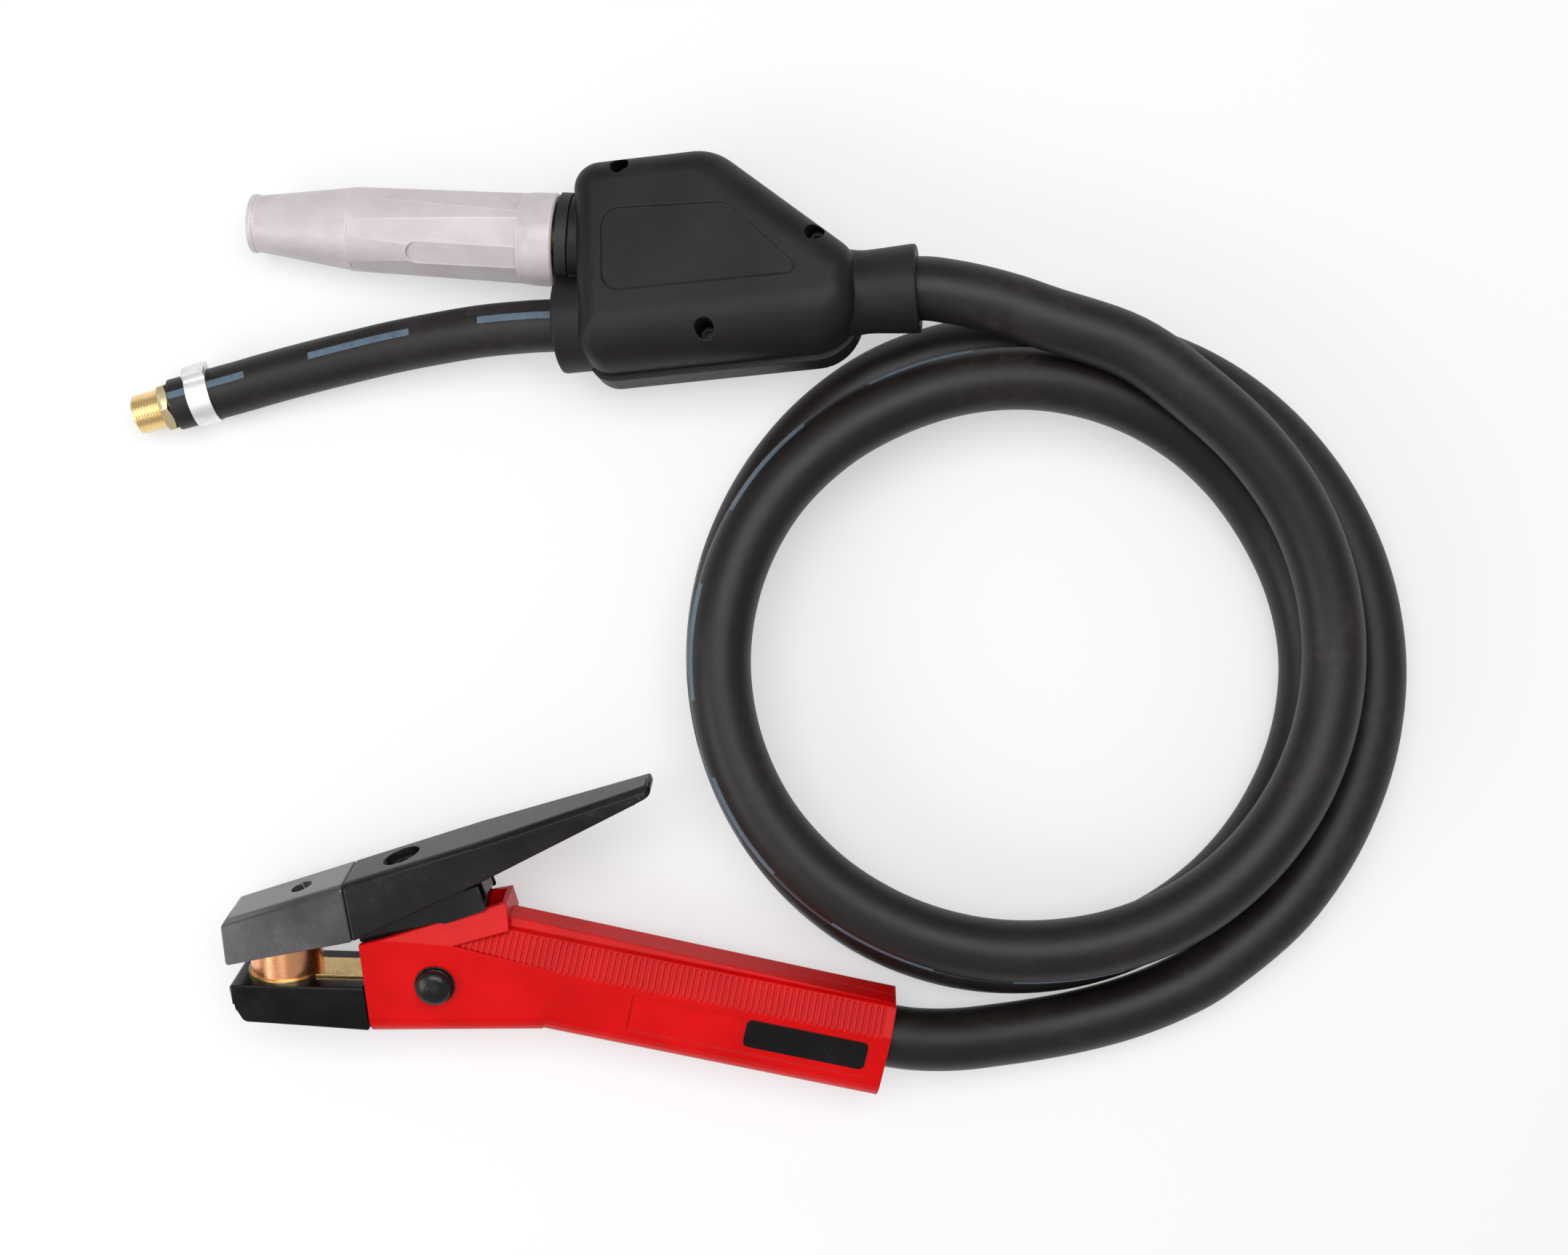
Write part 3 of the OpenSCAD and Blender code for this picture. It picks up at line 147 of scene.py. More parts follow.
class Value:
    """A number that varies over a surface: a float socket with Python's arithmetic."""

    def __init__(self, graph: "Graph", socket: bpy.types.NodeSocket) -> None:
        """Wraps a float socket of a graph."""
        self.graph, self.socket = graph, socket

    def _maths(self, operation: str, *operands: Operand) -> "Value":
        """One Math node: the operation on the operands, in order."""
        made = self.graph.node("ShaderNodeMath", {"operation": operation}, dict(enumerate(operands)))
        return Value(self.graph, made.outputs[0])

    def __add__(self, other: Operand) -> "Value":
        """self + other."""
        return self._maths("ADD", self, other)

    __radd__ = __add__

    def __sub__(self, other: Operand) -> "Value":
        """self - other."""
        return self._maths("SUBTRACT", self, other)

    def __rsub__(self, other: Operand) -> "Value":
        """other - self."""
        return self._maths("SUBTRACT", other, self)

    def __mul__(self, other: Operand) -> "Value":
        """self * other."""
        return self._maths("MULTIPLY", self, other)

    __rmul__ = __mul__

    def __truediv__(self, other: Operand) -> "Value":
        """self / other."""
        return self._maths("DIVIDE", self, other)

    def __abs__(self) -> "Value":
        """The size of self."""
        return self._maths("ABSOLUTE", self)

    def __mod__(self, other: Operand) -> "Value":
        """self - other * floor(self / other)."""
        return self._maths("FLOORED_MODULO", self, other)

    def at_most(self, other: Operand) -> "Value":
        """The smaller of self and other."""
        return self._maths("MINIMUM", self, other)

    def at_least(self, other: Operand) -> "Value":
        """The larger of self and other."""
        return self._maths("MAXIMUM", self, other)

    def step(self, low: float, high: float) -> "Value":
        """Smooth step: 3t^2 - 2t^3 with t = (self - low) / (high - low) held from 0 to 1.

        Args:
            low: the value at which the step is 0.
            high: the value at which the step is 1; it may be the lower of the two.

        Returns:
            The step, from 0 to 1.
        """
        swap = high < low
        made = self.graph.node("ShaderNodeMapRange", {"interpolation_type": "SMOOTHSTEP", "clamp": True}, {
            "Value": self, "From Min": min(low, high), "From Max": max(low, high),
            "To Min": float(swap), "To Max": float(not swap)})
        return Value(self.graph, made.outputs["Result"])


class Graph:
    """The node tree of one material, built from expressions."""

    def __init__(self, name: str) -> None:
        """Starts an empty material of that name."""
        self.material = bpy.data.materials.new(name)
        self.material.use_nodes = True
        self.tree = self.material.node_tree
        self.tree.nodes.clear()

    def node(self, kind: str, settings: dict[str, Any] | None = None,
             inputs: dict[Any, Any] | None = None) -> bpy.types.Node:
        """Adds a node, with its settings first and its sockets after them.

        Args:
            kind: the node's type.
            settings: attributes of the node.
            inputs: socket names or numbers, each with a value, a Value or a socket to link.

        Returns:
            The node.
        """
        made = self.tree.nodes.new(kind)
        for key, value in (settings or {}).items():
            setattr(made, key, value)
        for key, value in (inputs or {}).items():
            self.feed(made.inputs[key], value)
        return made

    def feed(self, socket: bpy.types.NodeSocket, value: Any) -> None:
        """Links a socket, or sets its own value where what it gets is a constant."""
        if isinstance(value, Value):
            self.tree.links.new(value.socket, socket)
        elif isinstance(value, bpy.types.NodeSocket):
            self.tree.links.new(value, socket)
        elif socket.type == "RGBA":
            socket.default_value = (*value, 1.0)
        else:
            socket.default_value = value

    def place(self) -> bpy.types.NodeSocket:
        """Where a point of the piece is, in metres."""
        return self.node("ShaderNodeTexCoord").outputs["Object"]

    def stretched(self, across: Sequence[float], turn: Sequence[float] = (0.0, 0.0, 0.0)) -> bpy.types.NodeSocket:
        """The place turned, then scaled along each axis.

        Args:
            across: the scale along each axis.
            turn: the turn about each axis, in radians.

        Returns:
            The vector's socket.
        """
        turned = self.node("ShaderNodeMapping", {"vector_type": "TEXTURE"},
                           {"Vector": self.place(), "Rotation": tuple(turn)})
        made = self.node("ShaderNodeVectorMath", {"operation": "MULTIPLY"}, {0: turned.outputs[0], 1: tuple(across)})
        return made.outputs[0]

    def noise(self, vector: bpy.types.NodeSocket, size: float, detail: float = 3.0,
              rough: float = 0.55) -> Value:
        """Fractal noise from 0 to 1.

        Args:
            vector: the place that it is read at.
            size: how far apart its largest features are, in metres.
            detail: its octaves.
            rough: how strong each octave is next to the one before.

        Returns:
            The noise.
        """
        made = self.node("ShaderNodeTexNoise", {}, {
            "Vector": vector, "Scale": 1 / size, "Detail": detail, "Roughness": rough})
        return Value(self, made.outputs[0])

    def blend(self, share: Operand, under: Any, over: Any, mode: str = "MIX") -> bpy.types.NodeSocket:
        """Colour under * (1 - share) + over * share, or another blend of the two.

        Args:
            share: how much of the upper colour shows.
            under: the lower colour.
            over: the upper colour.
            mode: the Mix node's blend type.

        Returns:
            The colour's socket.
        """
        made = self.node("ShaderNodeMix", {"data_type": "RGBA", "blend_type": mode},
                         {0: share, 6: under, 7: over})
        return made.outputs[2]

    def soft_edge(self, radius: float) -> bpy.types.NodeSocket:
        """The normal of the surface with its edges rounded by a radius in metres."""
        return self.node("ShaderNodeBevel", {"samples": 4}, {"Radius": radius}).outputs[0]

    def edge(self, rounded: bpy.types.NodeSocket) -> Value:
        """How much a point lies on an edge: 1 - n . r, n the face's normal, r the rounded one."""
        face = self.node("ShaderNodeNewGeometry").outputs["Normal"]
        dot = self.node("ShaderNodeVectorMath", {"operation": "DOT_PRODUCT"}, {0: rounded, 1: face})
        return 1 - Value(self, dot.outputs["Value"])

    def bump(self, height: Value, depth: float, normal: bpy.types.NodeSocket | None = None) -> bpy.types.NodeSocket:
        """The normal of a relief of that height field, depth metres from 0 to 1."""
        inputs = {"Height": height, "Distance": depth, "Strength": 1.0}
        if normal is not None:
            inputs["Normal"] = normal
        return self.node("ShaderNodeBump", {}, inputs).outputs[0]

    def finish(self, **sockets: Any) -> bpy.types.Material:
        """Ends the tree in a Principled shader.

        Args:
            **sockets: the shader's sockets, spaces in their names written as underscores.

        Returns:
            The material.
        """
        shader = self.node("ShaderNodeBsdfPrincipled", {}, {k.replace("_", " "): v for k, v in sockets.items()})
        self.node("ShaderNodeOutputMaterial", {}, {"Surface": shader.outputs[0]})
        return self.material


class Slot(Enum):
    """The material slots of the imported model."""

    HANDLE = "handle_plastic"
    LABEL = "label"
    STEEL = "steel"
    DARK_STEEL = "dark_steel"
    BRASS = "brass"
    COPPER = "copper"
    ALUMINIUM = "aluminium"
    INSULATOR = "insulator_black"
    LEVER = "lever_black"
    BUTTON = "button_black"
    SEAL = "seal_rubber"
    HOSE = "hose_rubber"
    BOOT = "boot_black"
    SLEEVE = "sleeve_grey"


@dataclass(frozen=True)
class Moulding:
    """A moulded plastic: cloudy sheen, fine grain, rubbed edges lightened by a painted highlight, hair scratches and
    dust.
    """

    name: str
    colour: Colour
    rough: float = 0.4
    mottle: float = 0.12
    grain_size: float = 0.0004
    grain_depth: float = 0.000012
    edge_radius: float = 0.0006
    # The edge colour is both the colour that the scratches take and a painted highlight along the edges; the share
    # sets how much of that highlight shows.
    scratch_and_highlight_colour: Colour = (0.2, 0.2, 0.2)
    highlight_share: float = 0.25
    dust: float = 0.05
    dust_colour: Colour = (0.3, 0.3, 0.3)
    scratches: float = 0.4
    specular: float = 0.5

    def make(self) -> bpy.types.Material:
        """Builds the material.

        Returns:
            The material, its patterns read from the piece's own coordinates.
        """
        g = Graph(self.name)
        place = g.place()
        cloud = g.noise(place, 0.03, 4.0)
        fine = g.noise(place, 0.004, 3.0, 0.6)
        grain = g.noise(place, self.grain_size, 2.0, 0.6)
        hair = g.noise(g.stretched((1.0, 0.03, 1.0), (0.2, 0.1, 0.7)), 0.0007, 2.0, 0.7).step(0.66, 0.72)
        hair_two = g.noise(g.stretched((0.04, 1.0, 1.0), (0.1, 0.3, -0.4)), 0.0009, 2.0, 0.7).step(0.68, 0.73)
        scratch = (hair + hair_two).at_most(1.0) * cloud.step(0.42, 0.62) * self.scratches
        rounded = g.soft_edge(self.edge_radius)
        # Painted highlight: a lighter band along every edge, found from the rounded normal and broken up by noise;
        # the same band also makes the edges smoother.
        edge_highlight_mask = g.edge(rounded).step(0.01, 0.18) * fine.step(0.3, 0.62) * self.highlight_share
        powder = (cloud.step(0.5, 0.72) * fine.step(0.42, 0.7)) * self.dust
        deep = tuple(c * (1 - 2.2 * self.mottle) for c in self.colour)
        pale = tuple(min(c * (1 + 1.6 * self.mottle) + 0.02 * self.mottle, 1) for c in self.colour)
        colour = g.blend(cloud.step(0.3, 0.7), deep, pale)
        colour = g.blend(powder, colour, self.dust_colour)
        colour = g.blend(scratch * 0.25, colour, self.scratch_and_highlight_colour)
        # The edges turn toward the pale edge colour: a painted highlight on rubbed edges.
        colour = g.blend(edge_highlight_mask, colour, self.scratch_and_highlight_colour)
        rough = self.rough + (cloud - 0.5) * self.mottle + (fine - 0.5) * 0.12 + powder * 0.4 - edge_highlight_mask * 0.3 + scratch * 0.1
        relief = grain + fine * 1.5 - scratch * 0.6
        return g.finish(Base_Color=colour, Roughness=rough.at_least(0.08).at_most(0.9),
                        Normal=g.bump(relief, self.grain_depth, rounded), Specular_IOR_Level=self.specular)


@dataclass(frozen=True)
class Metal:
    """A machined metal: turning lines, patchy tarnish, edges lighter and smoother, and fine dents."""

    name: str
    colour: Colour
    tarnish: Colour
    rough: float = 0.25
    tarnish_share: float = 0.5
    line_size: float = 0.00035
    line_depth: float = 0.000008
    stretch: Point = (1.0, 0.06, 0.06)
    turn: Point = (0.0, 0.0, 0.0)
    edge_radius: float = 0.0003

    def make(self) -> bpy.types.Material:
        """Builds the material.

        Returns:
            The material.
        """
        g = Graph(self.name)
        place = g.place()
        cloud = g.noise(place, 0.009, 4.0, 0.6)
        speck = g.noise(place, 0.0012, 3.0, 0.6)
        lines = g.noise(g.stretched(self.stretch, self.turn), self.line_size, 3.0, 0.6)
        rounded = g.soft_edge(self.edge_radius)
        # Lighter and smoother along every edge, found from the rounded normal.
        bright = g.edge(rounded).step(0.02, 0.25)
        dull = (cloud * 0.65 + speck * 0.35).step(0.42, 0.66) * self.tarnish_share
        colour = g.blend(dull, self.colour, self.tarnish)
        colour = g.blend(bright * 0.5, colour, tuple(min(1.25 * c, 1.0) for c in self.colour))
        rough = self.rough + dull * 0.25 + (lines - 0.5) * 0.18 + (speck - 0.5) * 0.08 - bright * 0.08
        return g.finish(Base_Color=colour, Metallic=1.0, Roughness=rough.at_least(0.05).at_most(0.8),
                        Normal=g.bump(lines + speck * 0.6, self.line_depth, rounded))


@dataclass(frozen=True)
class HoseRubber:
    """Satin extruded rubber with a printed broken line; the piece's UV runs round and along it."""

    name: str
    colour: Colour
    line_colour: Colour
    girth: float
    line_width: float = 0.0037
    period: float = 0.073
    dash: float = 0.0435
    rough: float = 0.46

    def make(self) -> bpy.types.Material:
        """Builds the material. The line is where |u - 0.5| * girth < line_width / 2, broken along v.

        Returns:
            The material.
        """
        g = Graph(self.name)
        place = g.place()
        track = g.node("ShaderNodeUVMap", {"uv_map": "hose"}).outputs[0]
        split = g.node("ShaderNodeSeparateXYZ", {}, {0: track})
        round_it, along = Value(g, split.outputs[0]), Value(g, split.outputs[1])
        drawn = g.node("ShaderNodeVectorMath", {"operation": "MULTIPLY"}, {0: track, 1: (self.girth, 0.02, 1.0)})
        cloud = g.noise(place, 0.05, 4.0)
        smear = g.noise(place, 0.006, 3.0, 0.6)
        pores = g.noise(place, 0.0006, 2.0, 0.6)
        lines = g.noise(drawn.outputs[0], 0.0012, 3.0, 0.6)
        off = abs(round_it - 0.5) * self.girth + (pores - 0.5) * 0.0004
        across = off.step(self.line_width / 2 + 0.0001, self.line_width / 2 - 0.0001)
        part = (along + (cloud - 0.5) * 0.01) % self.period
        length = part.step(0.0, 0.0003) * part.step(self.dash + 0.0003, self.dash)
        ink = across * length * (0.72 + smear.step(0.25, 0.55) * 0.28)
        dust = cloud.step(0.45, 0.75) * smear.step(0.4, 0.75) * 0.10
        colour = g.blend(cloud.step(0.3, 0.7), self.colour, tuple(1.5 * c for c in self.colour))
        colour = g.blend(dust, colour, linear(120, 116, 112))
        colour = g.blend(ink, colour, self.line_colour)
        rough = self.rough + (cloud - 0.5) * 0.16 + (smear - 0.5) * 0.10 + ink * 0.08
        relief = lines + pores * 0.7 + ink * 1.2
        return g.finish(Base_Color=colour, Roughness=rough.at_least(0.1).at_most(0.9),
                        Normal=g.bump(relief, 0.00002), Specular_IOR_Level=0.36)


@dataclass(frozen=True)
class SoftVinyl:
    """Milky, slightly translucent moulded vinyl: cloudy handling smears, darker streaks along its axis that are
    painted shade of the parts inside, painted highlight lines on its edges, a scattered glow.
    """

    name: str
    colour: Colour
    shade: Colour

    def make(self) -> bpy.types.Material:
        """Builds the material.

        Returns:
            The material.
        """
        g = Graph(self.name)
        place = g.place()
        cloud = g.noise(place, 0.02, 4.0, 0.6)
        streak_and_inner_shade = g.noise(g.stretched((0.15, 1.0, 1.0), (0.0, 0.0, -0.066)), 0.004, 3.0, 0.6)
        speck = g.noise(place, 0.0006, 2.0, 0.6)
        rounded = g.soft_edge(0.0008)
        edge_highlight_mask = g.edge(rounded).step(0.001, 0.02)
        colour = g.blend(cloud.step(0.3, 0.7) * 0.7, self.colour, self.shade)
        # Painted shade: darker streaks along the axis stand in for the shade of the parts inside the vinyl; the same
        # streaks also give its surface relief and roughness.
        colour = g.blend(streak_and_inner_shade.step(0.5, 0.7) * 0.18, colour, tuple(0.82 * c for c in self.shade))
        # Painted highlight: pale lines along the edges of the facets.
        colour = g.blend(edge_highlight_mask * 0.6, colour, linear(240, 234, 236))
        rough = 0.34 + (cloud - 0.5) * 0.16 + (streak_and_inner_shade - 0.5) * 0.12
        return g.finish(Base_Color=colour, Roughness=rough, Normal=g.bump(streak_and_inner_shade + speck * 0.5, 0.00003, rounded),
                        Subsurface_Weight=0.12, Subsurface_Radius=(0.9, 0.8, 0.85), Subsurface_Scale=0.003)


RED = linear(204, 0, 2)
# Where a finish sets an edge colour and a share, it paints a pale highlight along the piece's edges: pinkish on the
# red handle, grey on the black plastics.
FINISHES: dict[Slot, Any] = {
    Slot.HANDLE: Moulding("red_handle_plastic", RED, rough=0.36, mottle=0.05, grain_size=0.0006,
                          grain_depth=0.00001, scratch_and_highlight_colour=linear(238, 40, 48), highlight_share=0.35, dust=0.05,
                          dust_colour=linear(226, 60, 66), scratches=0.35, specular=0.15, edge_radius=0.0009),
    Slot.LABEL: Moulding("label_black_film", linear(17, 12, 13), rough=0.42, mottle=0.1, grain_size=0.0003,
                         grain_depth=0.000006, highlight_share=0.1, dust=0.02, specular=0.15),
    Slot.STEEL: Metal("zinc_steel", (0.92, 0.93, 0.91), (0.70, 0.70, 0.68), rough=0.46),
    Slot.DARK_STEEL: Metal("blackened_steel", (0.035, 0.033, 0.032), (0.02, 0.018, 0.016), rough=0.48),
    Slot.BRASS: Metal("machined_brass", (0.90, 0.65, 0.30), (0.52, 0.33, 0.14), rough=0.24, tarnish_share=0.35),
    Slot.COPPER: Metal("polished_copper", (1.0, 0.47, 0.24), (0.72, 0.28, 0.13), rough=0.24, tarnish_share=0.35,
                       stretch=(0.05, 1.0, 0.05), turn=(0.3, 0.0, -0.01)),
    Slot.ALUMINIUM: Metal("crimped_aluminium", (0.72, 0.73, 0.74), (0.5, 0.5, 0.5), rough=0.38),
    Slot.INSULATOR: Moulding("glassfibre_insulator", linear(13, 10, 10), rough=0.2, mottle=0.14,
                             grain_size=0.0009, grain_depth=0.000014, scratch_and_highlight_colour=linear(120, 120, 122),
                             highlight_share=0.35, dust=0.02, dust_colour=linear(120, 120, 122), scratches=0.5,
                             specular=0.2),
    Slot.LEVER: Moulding("lever_phenolic", linear(17, 13, 12), rough=0.27, mottle=0.16, grain_size=0.0007,
                         grain_depth=0.000016, scratch_and_highlight_colour=linear(140, 140, 142), highlight_share=0.4, dust=0.1,
                         dust_colour=linear(92, 88, 86), scratches=0.6, specular=0.26),
    Slot.BUTTON: Moulding("button_nylon", linear(14, 12, 12), rough=0.26, mottle=0.1, grain_size=0.0004,
                          grain_depth=0.000008, highlight_share=0.2, dust=0.04, specular=0.35),
    Slot.SEAL: Moulding("seal_rubber", linear(14, 14, 14), rough=0.6, mottle=0.15, highlight_share=0.05),
    Slot.BOOT: Moulding("boot_moulded_rubber", linear(25, 21, 20), rough=0.48, mottle=0.1, grain_size=0.00045,
                        grain_depth=0.00003, edge_radius=0.0012, scratch_and_highlight_colour=linear(90, 90, 92), highlight_share=0.18,
                        dust=0.05, dust_colour=linear(84, 80, 78), scratches=0.25, specular=0.24),
    Slot.SLEEVE: SoftVinyl("milky_vinyl", linear(200, 191, 194), linear(186, 176, 180)),
    Slot.HOSE: HoseRubber("hose_satin_rubber", linear(20, 16, 14), linear(84, 102, 118), 0.0829),
}


# The upper jaw's insulator is the same black glass-fibre as the lower one; its grey base colour is a painted sheen
# and its near-white edges are a painted highlight.
JAW_PAINTED_SHEEN = Moulding("insulator_painted_sheen", linear(56, 52, 53), rough=0.18, mottle=0.14, grain_size=0.0009,
                     grain_depth=0.00001, scratch_and_highlight_colour=linear(190, 188, 190), highlight_share=0.6, dust=0.05,
                     dust_colour=linear(120, 120, 122), scratches=0.6, specular=0.95)
FITTING_BRASS = Metal("bright_brass", (0.95, 0.78, 0.48), (0.62, 0.42, 0.2), rough=0.26, tarnish_share=0.12,
                      line_depth=0.000002, edge_radius=0.0001)


class Bench:
    """Keeps the finishes, so that each material is made once."""

    def __init__(self) -> None:
        """Starts with no material made."""
        self._made: dict[Slot, bpy.types.Material] = {}

    def finish(self, slot: Slot) -> bpy.types.Material:
        """The material of a slot, made when it is first asked for."""
        if slot not in self._made:
            self._made[slot] = FINISHES[slot].make()
        return self._made[slot]

    def dress(self, obj: bpy.types.Object, slot: Slot, own_finish: Any = None) -> None:
        """Gives an object one material in all its slots: its slot's own, or the glaze where one is given."""
        made = self.finish(slot) if own_finish is None else own_finish.make()
        if not obj.material_slots:
            obj.data.materials.append(made)
        for place in obj.material_slots:
            place.material = made

    def eased(self, slot: Slot, node: str, name: str, ease: float, own_finish: Any = None) -> bpy.types.Object:
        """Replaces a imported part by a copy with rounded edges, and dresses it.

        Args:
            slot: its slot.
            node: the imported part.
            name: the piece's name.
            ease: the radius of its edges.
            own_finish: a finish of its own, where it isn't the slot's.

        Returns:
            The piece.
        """
        made = eased_copy(node, name, ease)
        self.dress(made, slot, own_finish)
        return made

    def dress_nodes(self, slot: Slot, *names: str) -> None:
        """Dresses carried-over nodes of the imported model.

        Args:
            slot: the finish that they take.
            *names: the nodes.
        """
        for name in names:
            self.dress(frame["nodes"][name], slot)
            LOG.info("%s takes %s", name, FINISHES[slot].name)


def mesh_piece(name: str, points: np.ndarray, faces: np.ndarray, uv: np.ndarray | None = None,
               layer: str = "hose") -> bpy.types.Object:
    """A piece from arrays, smooth shaded.

    Args:
        name: the piece's name.
        points: n x 3 places in metres.
        faces: m x 4 point numbers.
        uv: m x 4 x 2 places on the map, if it has one.
        layer: the map's name.

    Returns:
        The object, at the origin.
    """
    data = bpy.data.meshes.new(name)
    data.from_pydata(points.tolist(), [], faces.tolist())
    data.polygons.foreach_set("use_smooth", np.ones(len(faces), bool))
    if uv is not None:
        data.uv_layers.new(name=layer).data.foreach_set("uv", uv.astype(np.float32).ravel())
    data.update()
    made = bpy.data.objects.new(name, data)
    bpy.context.scene.collection.objects.link(made)
    LOG.info("%s: %d faces", name, len(faces))
    return made


def catmull_rom(route: Sequence[Point], steps: int) -> np.ndarray:
    """Points on the Catmull-Rom curve through a route.

    p(t) = ((2b) + (c - a) t + (2a - 5b + 4c - d) t^2 + (3b - a - 3c + d) t^3) / 2 between b and c.

    Args:
        route: the points that it passes through.
        steps: how many points it gets for each stretch of the route.

    Returns:
        (n - 1) * steps + 1 points.
    """
    p = np.asarray(route, float)
    p = np.vstack([2 * p[0] - p[1], p, 2 * p[-1] - p[-2]])
    a, b, c, d = (p[i:len(p) - 3 + i, None, :] for i in range(4))
    t = (np.arange(steps) / steps)[None, :, None]
    curve = (2 * b + (c - a) * t + (2 * a - 5 * b + 4 * c - d) * t ** 2 + (3 * b - a - 3 * c + d) * t ** 3) / 2
    return np.vstack([curve.reshape(-1, 3), p[-2][None]])


def lengths(path: np.ndarray) -> np.ndarray:
    """Distance along a path at each of its points: the running sum of |p(i + 1) - p(i)|."""
    return np.concatenate([[0.0], np.cumsum(np.linalg.norm(np.diff(path, axis=0), axis=1))])


@dataclass
class Hose:
    """A rubber hose swept along a route, its printed line turned to where it lies on the bench."""

    name: str
    route: Sequence[Point]
    radius: float
    line_at: Sequence[tuple[float, float]]
    sides: int = 32
    steps: int = 7
    line_start: float = 0.0
    path: np.ndarray = field(init=False)

    def __post_init__(self) -> None:
        """Works out the centreline."""
        self.path = catmull_rom(self.route, self.steps)

    @property
    def length(self) -> float:
        """Length of the centreline, in metres."""
        return float(lengths(self.path)[-1])

    def build(self) -> bpy.types.Object:
        """The hose: p + r (cos a s + sin a w), s level and square to the path, w = t x s, with round ends.

        The angle a of the printed line is read from line_at, (share of the length, degrees) pairs, where
        90 is upwards and 0 is to the left of the way that the hose runs.

        Returns:
            The piece.
        """
        path = self.path
        tangent = np.gradient(path, axis=0)
        tangent /= np.linalg.norm(tangent, axis=1, keepdims=True)
        side = np.cross((0.0, 0.0, 1.0), tangent)
        side /= np.linalg.norm(side, axis=1, keepdims=True)
        over = np.cross(tangent, side)
        along = lengths(path)
        keys = np.asarray(self.line_at, float)
        line = np.radians(np.interp(along / along[-1], keys[:, 0], keys[:, 1]))
        ends = np.array([0.0, 0.55, 0.8, 0.95])
        scale = np.concatenate([ends, np.ones(len(path)), ends[::-1]])
        pick = np.concatenate([np.zeros(4, int), np.arange(len(path)), np.full(4, len(path) - 1)])
        turn = 2 * np.pi * np.arange(self.sides) / self.sides + np.pi
        angle = line[pick][:, None] + turn[None, :]
        rings = path[pick][:, None, :] + self.radius * scale[:, None, None] * (
            np.cos(angle)[..., None] * side[pick][:, None, :] + np.sin(angle)[..., None] * over[pick][:, None, :])
        count, k = len(pick), np.arange(self.sides)
        row = np.arange(count - 1)[:, None] * self.sides
        nxt = (k + 1) % self.sides
        faces = np.stack([row + k, row + nxt, row + nxt + self.sides, row + k + self.sides], -1)
        u = np.stack([k, k + 1, k + 1, k], -1) / self.sides
        v = along[pick] + self.line_start
        uv = np.empty((count - 1, self.sides, 4, 2))
        uv[..., 0] = u[None]
        uv[..., 0:2, 1] = v[:-1, None, None]
        uv[..., 2:4, 1] = v[1:, None, None]
        made = mesh_piece(self.name, rings.reshape(-1, 3), faces.reshape(-1, 4), uv.reshape(-1, 4, 2))
        close_poles(made)
        return made


def close_poles(obj: bpy.types.Object) -> None:
    """Merges the points that lie on one another, so that a piece's ends and seams are closed."""
    work = bmesh.new()
    work.from_mesh(obj.data)
    bmesh.ops.remove_doubles(work, verts=work.verts, dist=1e-7)
    bmesh.ops.dissolve_degenerate(work, edges=work.edges, dist=1e-8)
    bmesh.ops.recalc_face_normals(work, faces=work.faces)
    work.to_mesh(obj.data)
    work.free()


@dataclass(frozen=True)
class Corner:
    """A corner of a rounded outline: its place, its radius and the edge radius of the side after it."""

    x: float
    y: float
    r: float
    edge: float = 0.0


def outline(corners: Sequence[Corner], inset: float | np.ndarray, steps: int = 12) -> np.ndarray:
    """A convex outline with round corners, its sides moved in.

    With inward normals m and n of a corner's two sides, moved in by a and b, and k = m . n, its arc has the
    radius q, its own less the mean of a and b, and the centre v + (f - g k) / (1 - k^2) m +
    (g - f k) / (1 - k^2) n, f = a + q and g = b + q.

    Args:
        corners: the corners, in the order of a left turn.
        inset: how far the sides are moved in: one distance, or one for the side after each corner.
        steps: points on each corner's arc.

    Returns:
        len(corners) * steps x 2 points.
    """
    v = np.array([[c.x, c.y] for c in corners])
    way = np.roll(v, -1, axis=0) - v
    way /= np.linalg.norm(way, axis=1, keepdims=True)
    after = np.stack([-way[:, 1], way[:, 0]], 1)
    before = np.roll(after, 1, axis=0)
    b = np.broadcast_to(np.asarray(inset, float), (len(v),))
    a = np.roll(b, 1)
    radius = np.maximum(np.array([c.r for c in corners]) - (a + b) / 2, 0.0002)
    f, g, k = a + radius, b + radius, np.sum(before * after, axis=1)
    centre = v + ((f - g * k) / (1 - k * k))[:, None] * before + ((g - f * k) / (1 - k * k))[:, None] * after
    start = np.arctan2(-before[:, 1], -before[:, 0])
    sweep = (np.arctan2(-after[:, 1], -after[:, 0]) - start) % (2 * np.pi)
    angle = start[:, None] + sweep[:, None] * np.linspace(0, 1, steps)[None, :]
    arc = np.stack([np.cos(angle), np.sin(angle)], -1) * radius[:, None, None]
    return (centre[:, None, :] + arc).reshape(-1, 2)


def cushion(name: str, corners: Sequence[Corner], low: float, high: float, wall: float = 0.0,
            rounds: int = 36) -> bpy.types.Object:
    """A flat-topped body with round edges: at the height z a side is moved in by e - sqrt(e^2 - h^2), e its
    edge radius and h how far z is into the edge.

    Args:
        name: the body's name.
        corners: its outline, with each side's edge radius.
        low: its lowest height.
        high: its highest height.
        wall: how far all its sides are moved in besides.
        rounds: rings from its lowest to its highest height.

    Returns:
        The closed body.
    """
    edge = np.array([c.edge for c in corners])
    rings = []
    for z in (low + high) / 2 - (high - low) / 2 * np.cos(np.linspace(0, np.pi, rounds)):
        h = np.clip(np.maximum(low + edge - z, z - high + edge), 0, edge)
        rings.append(layer_at(corners, wall + edge - np.sqrt(edge ** 2 - h ** 2), z))
    return ringed(name, np.stack(rings))


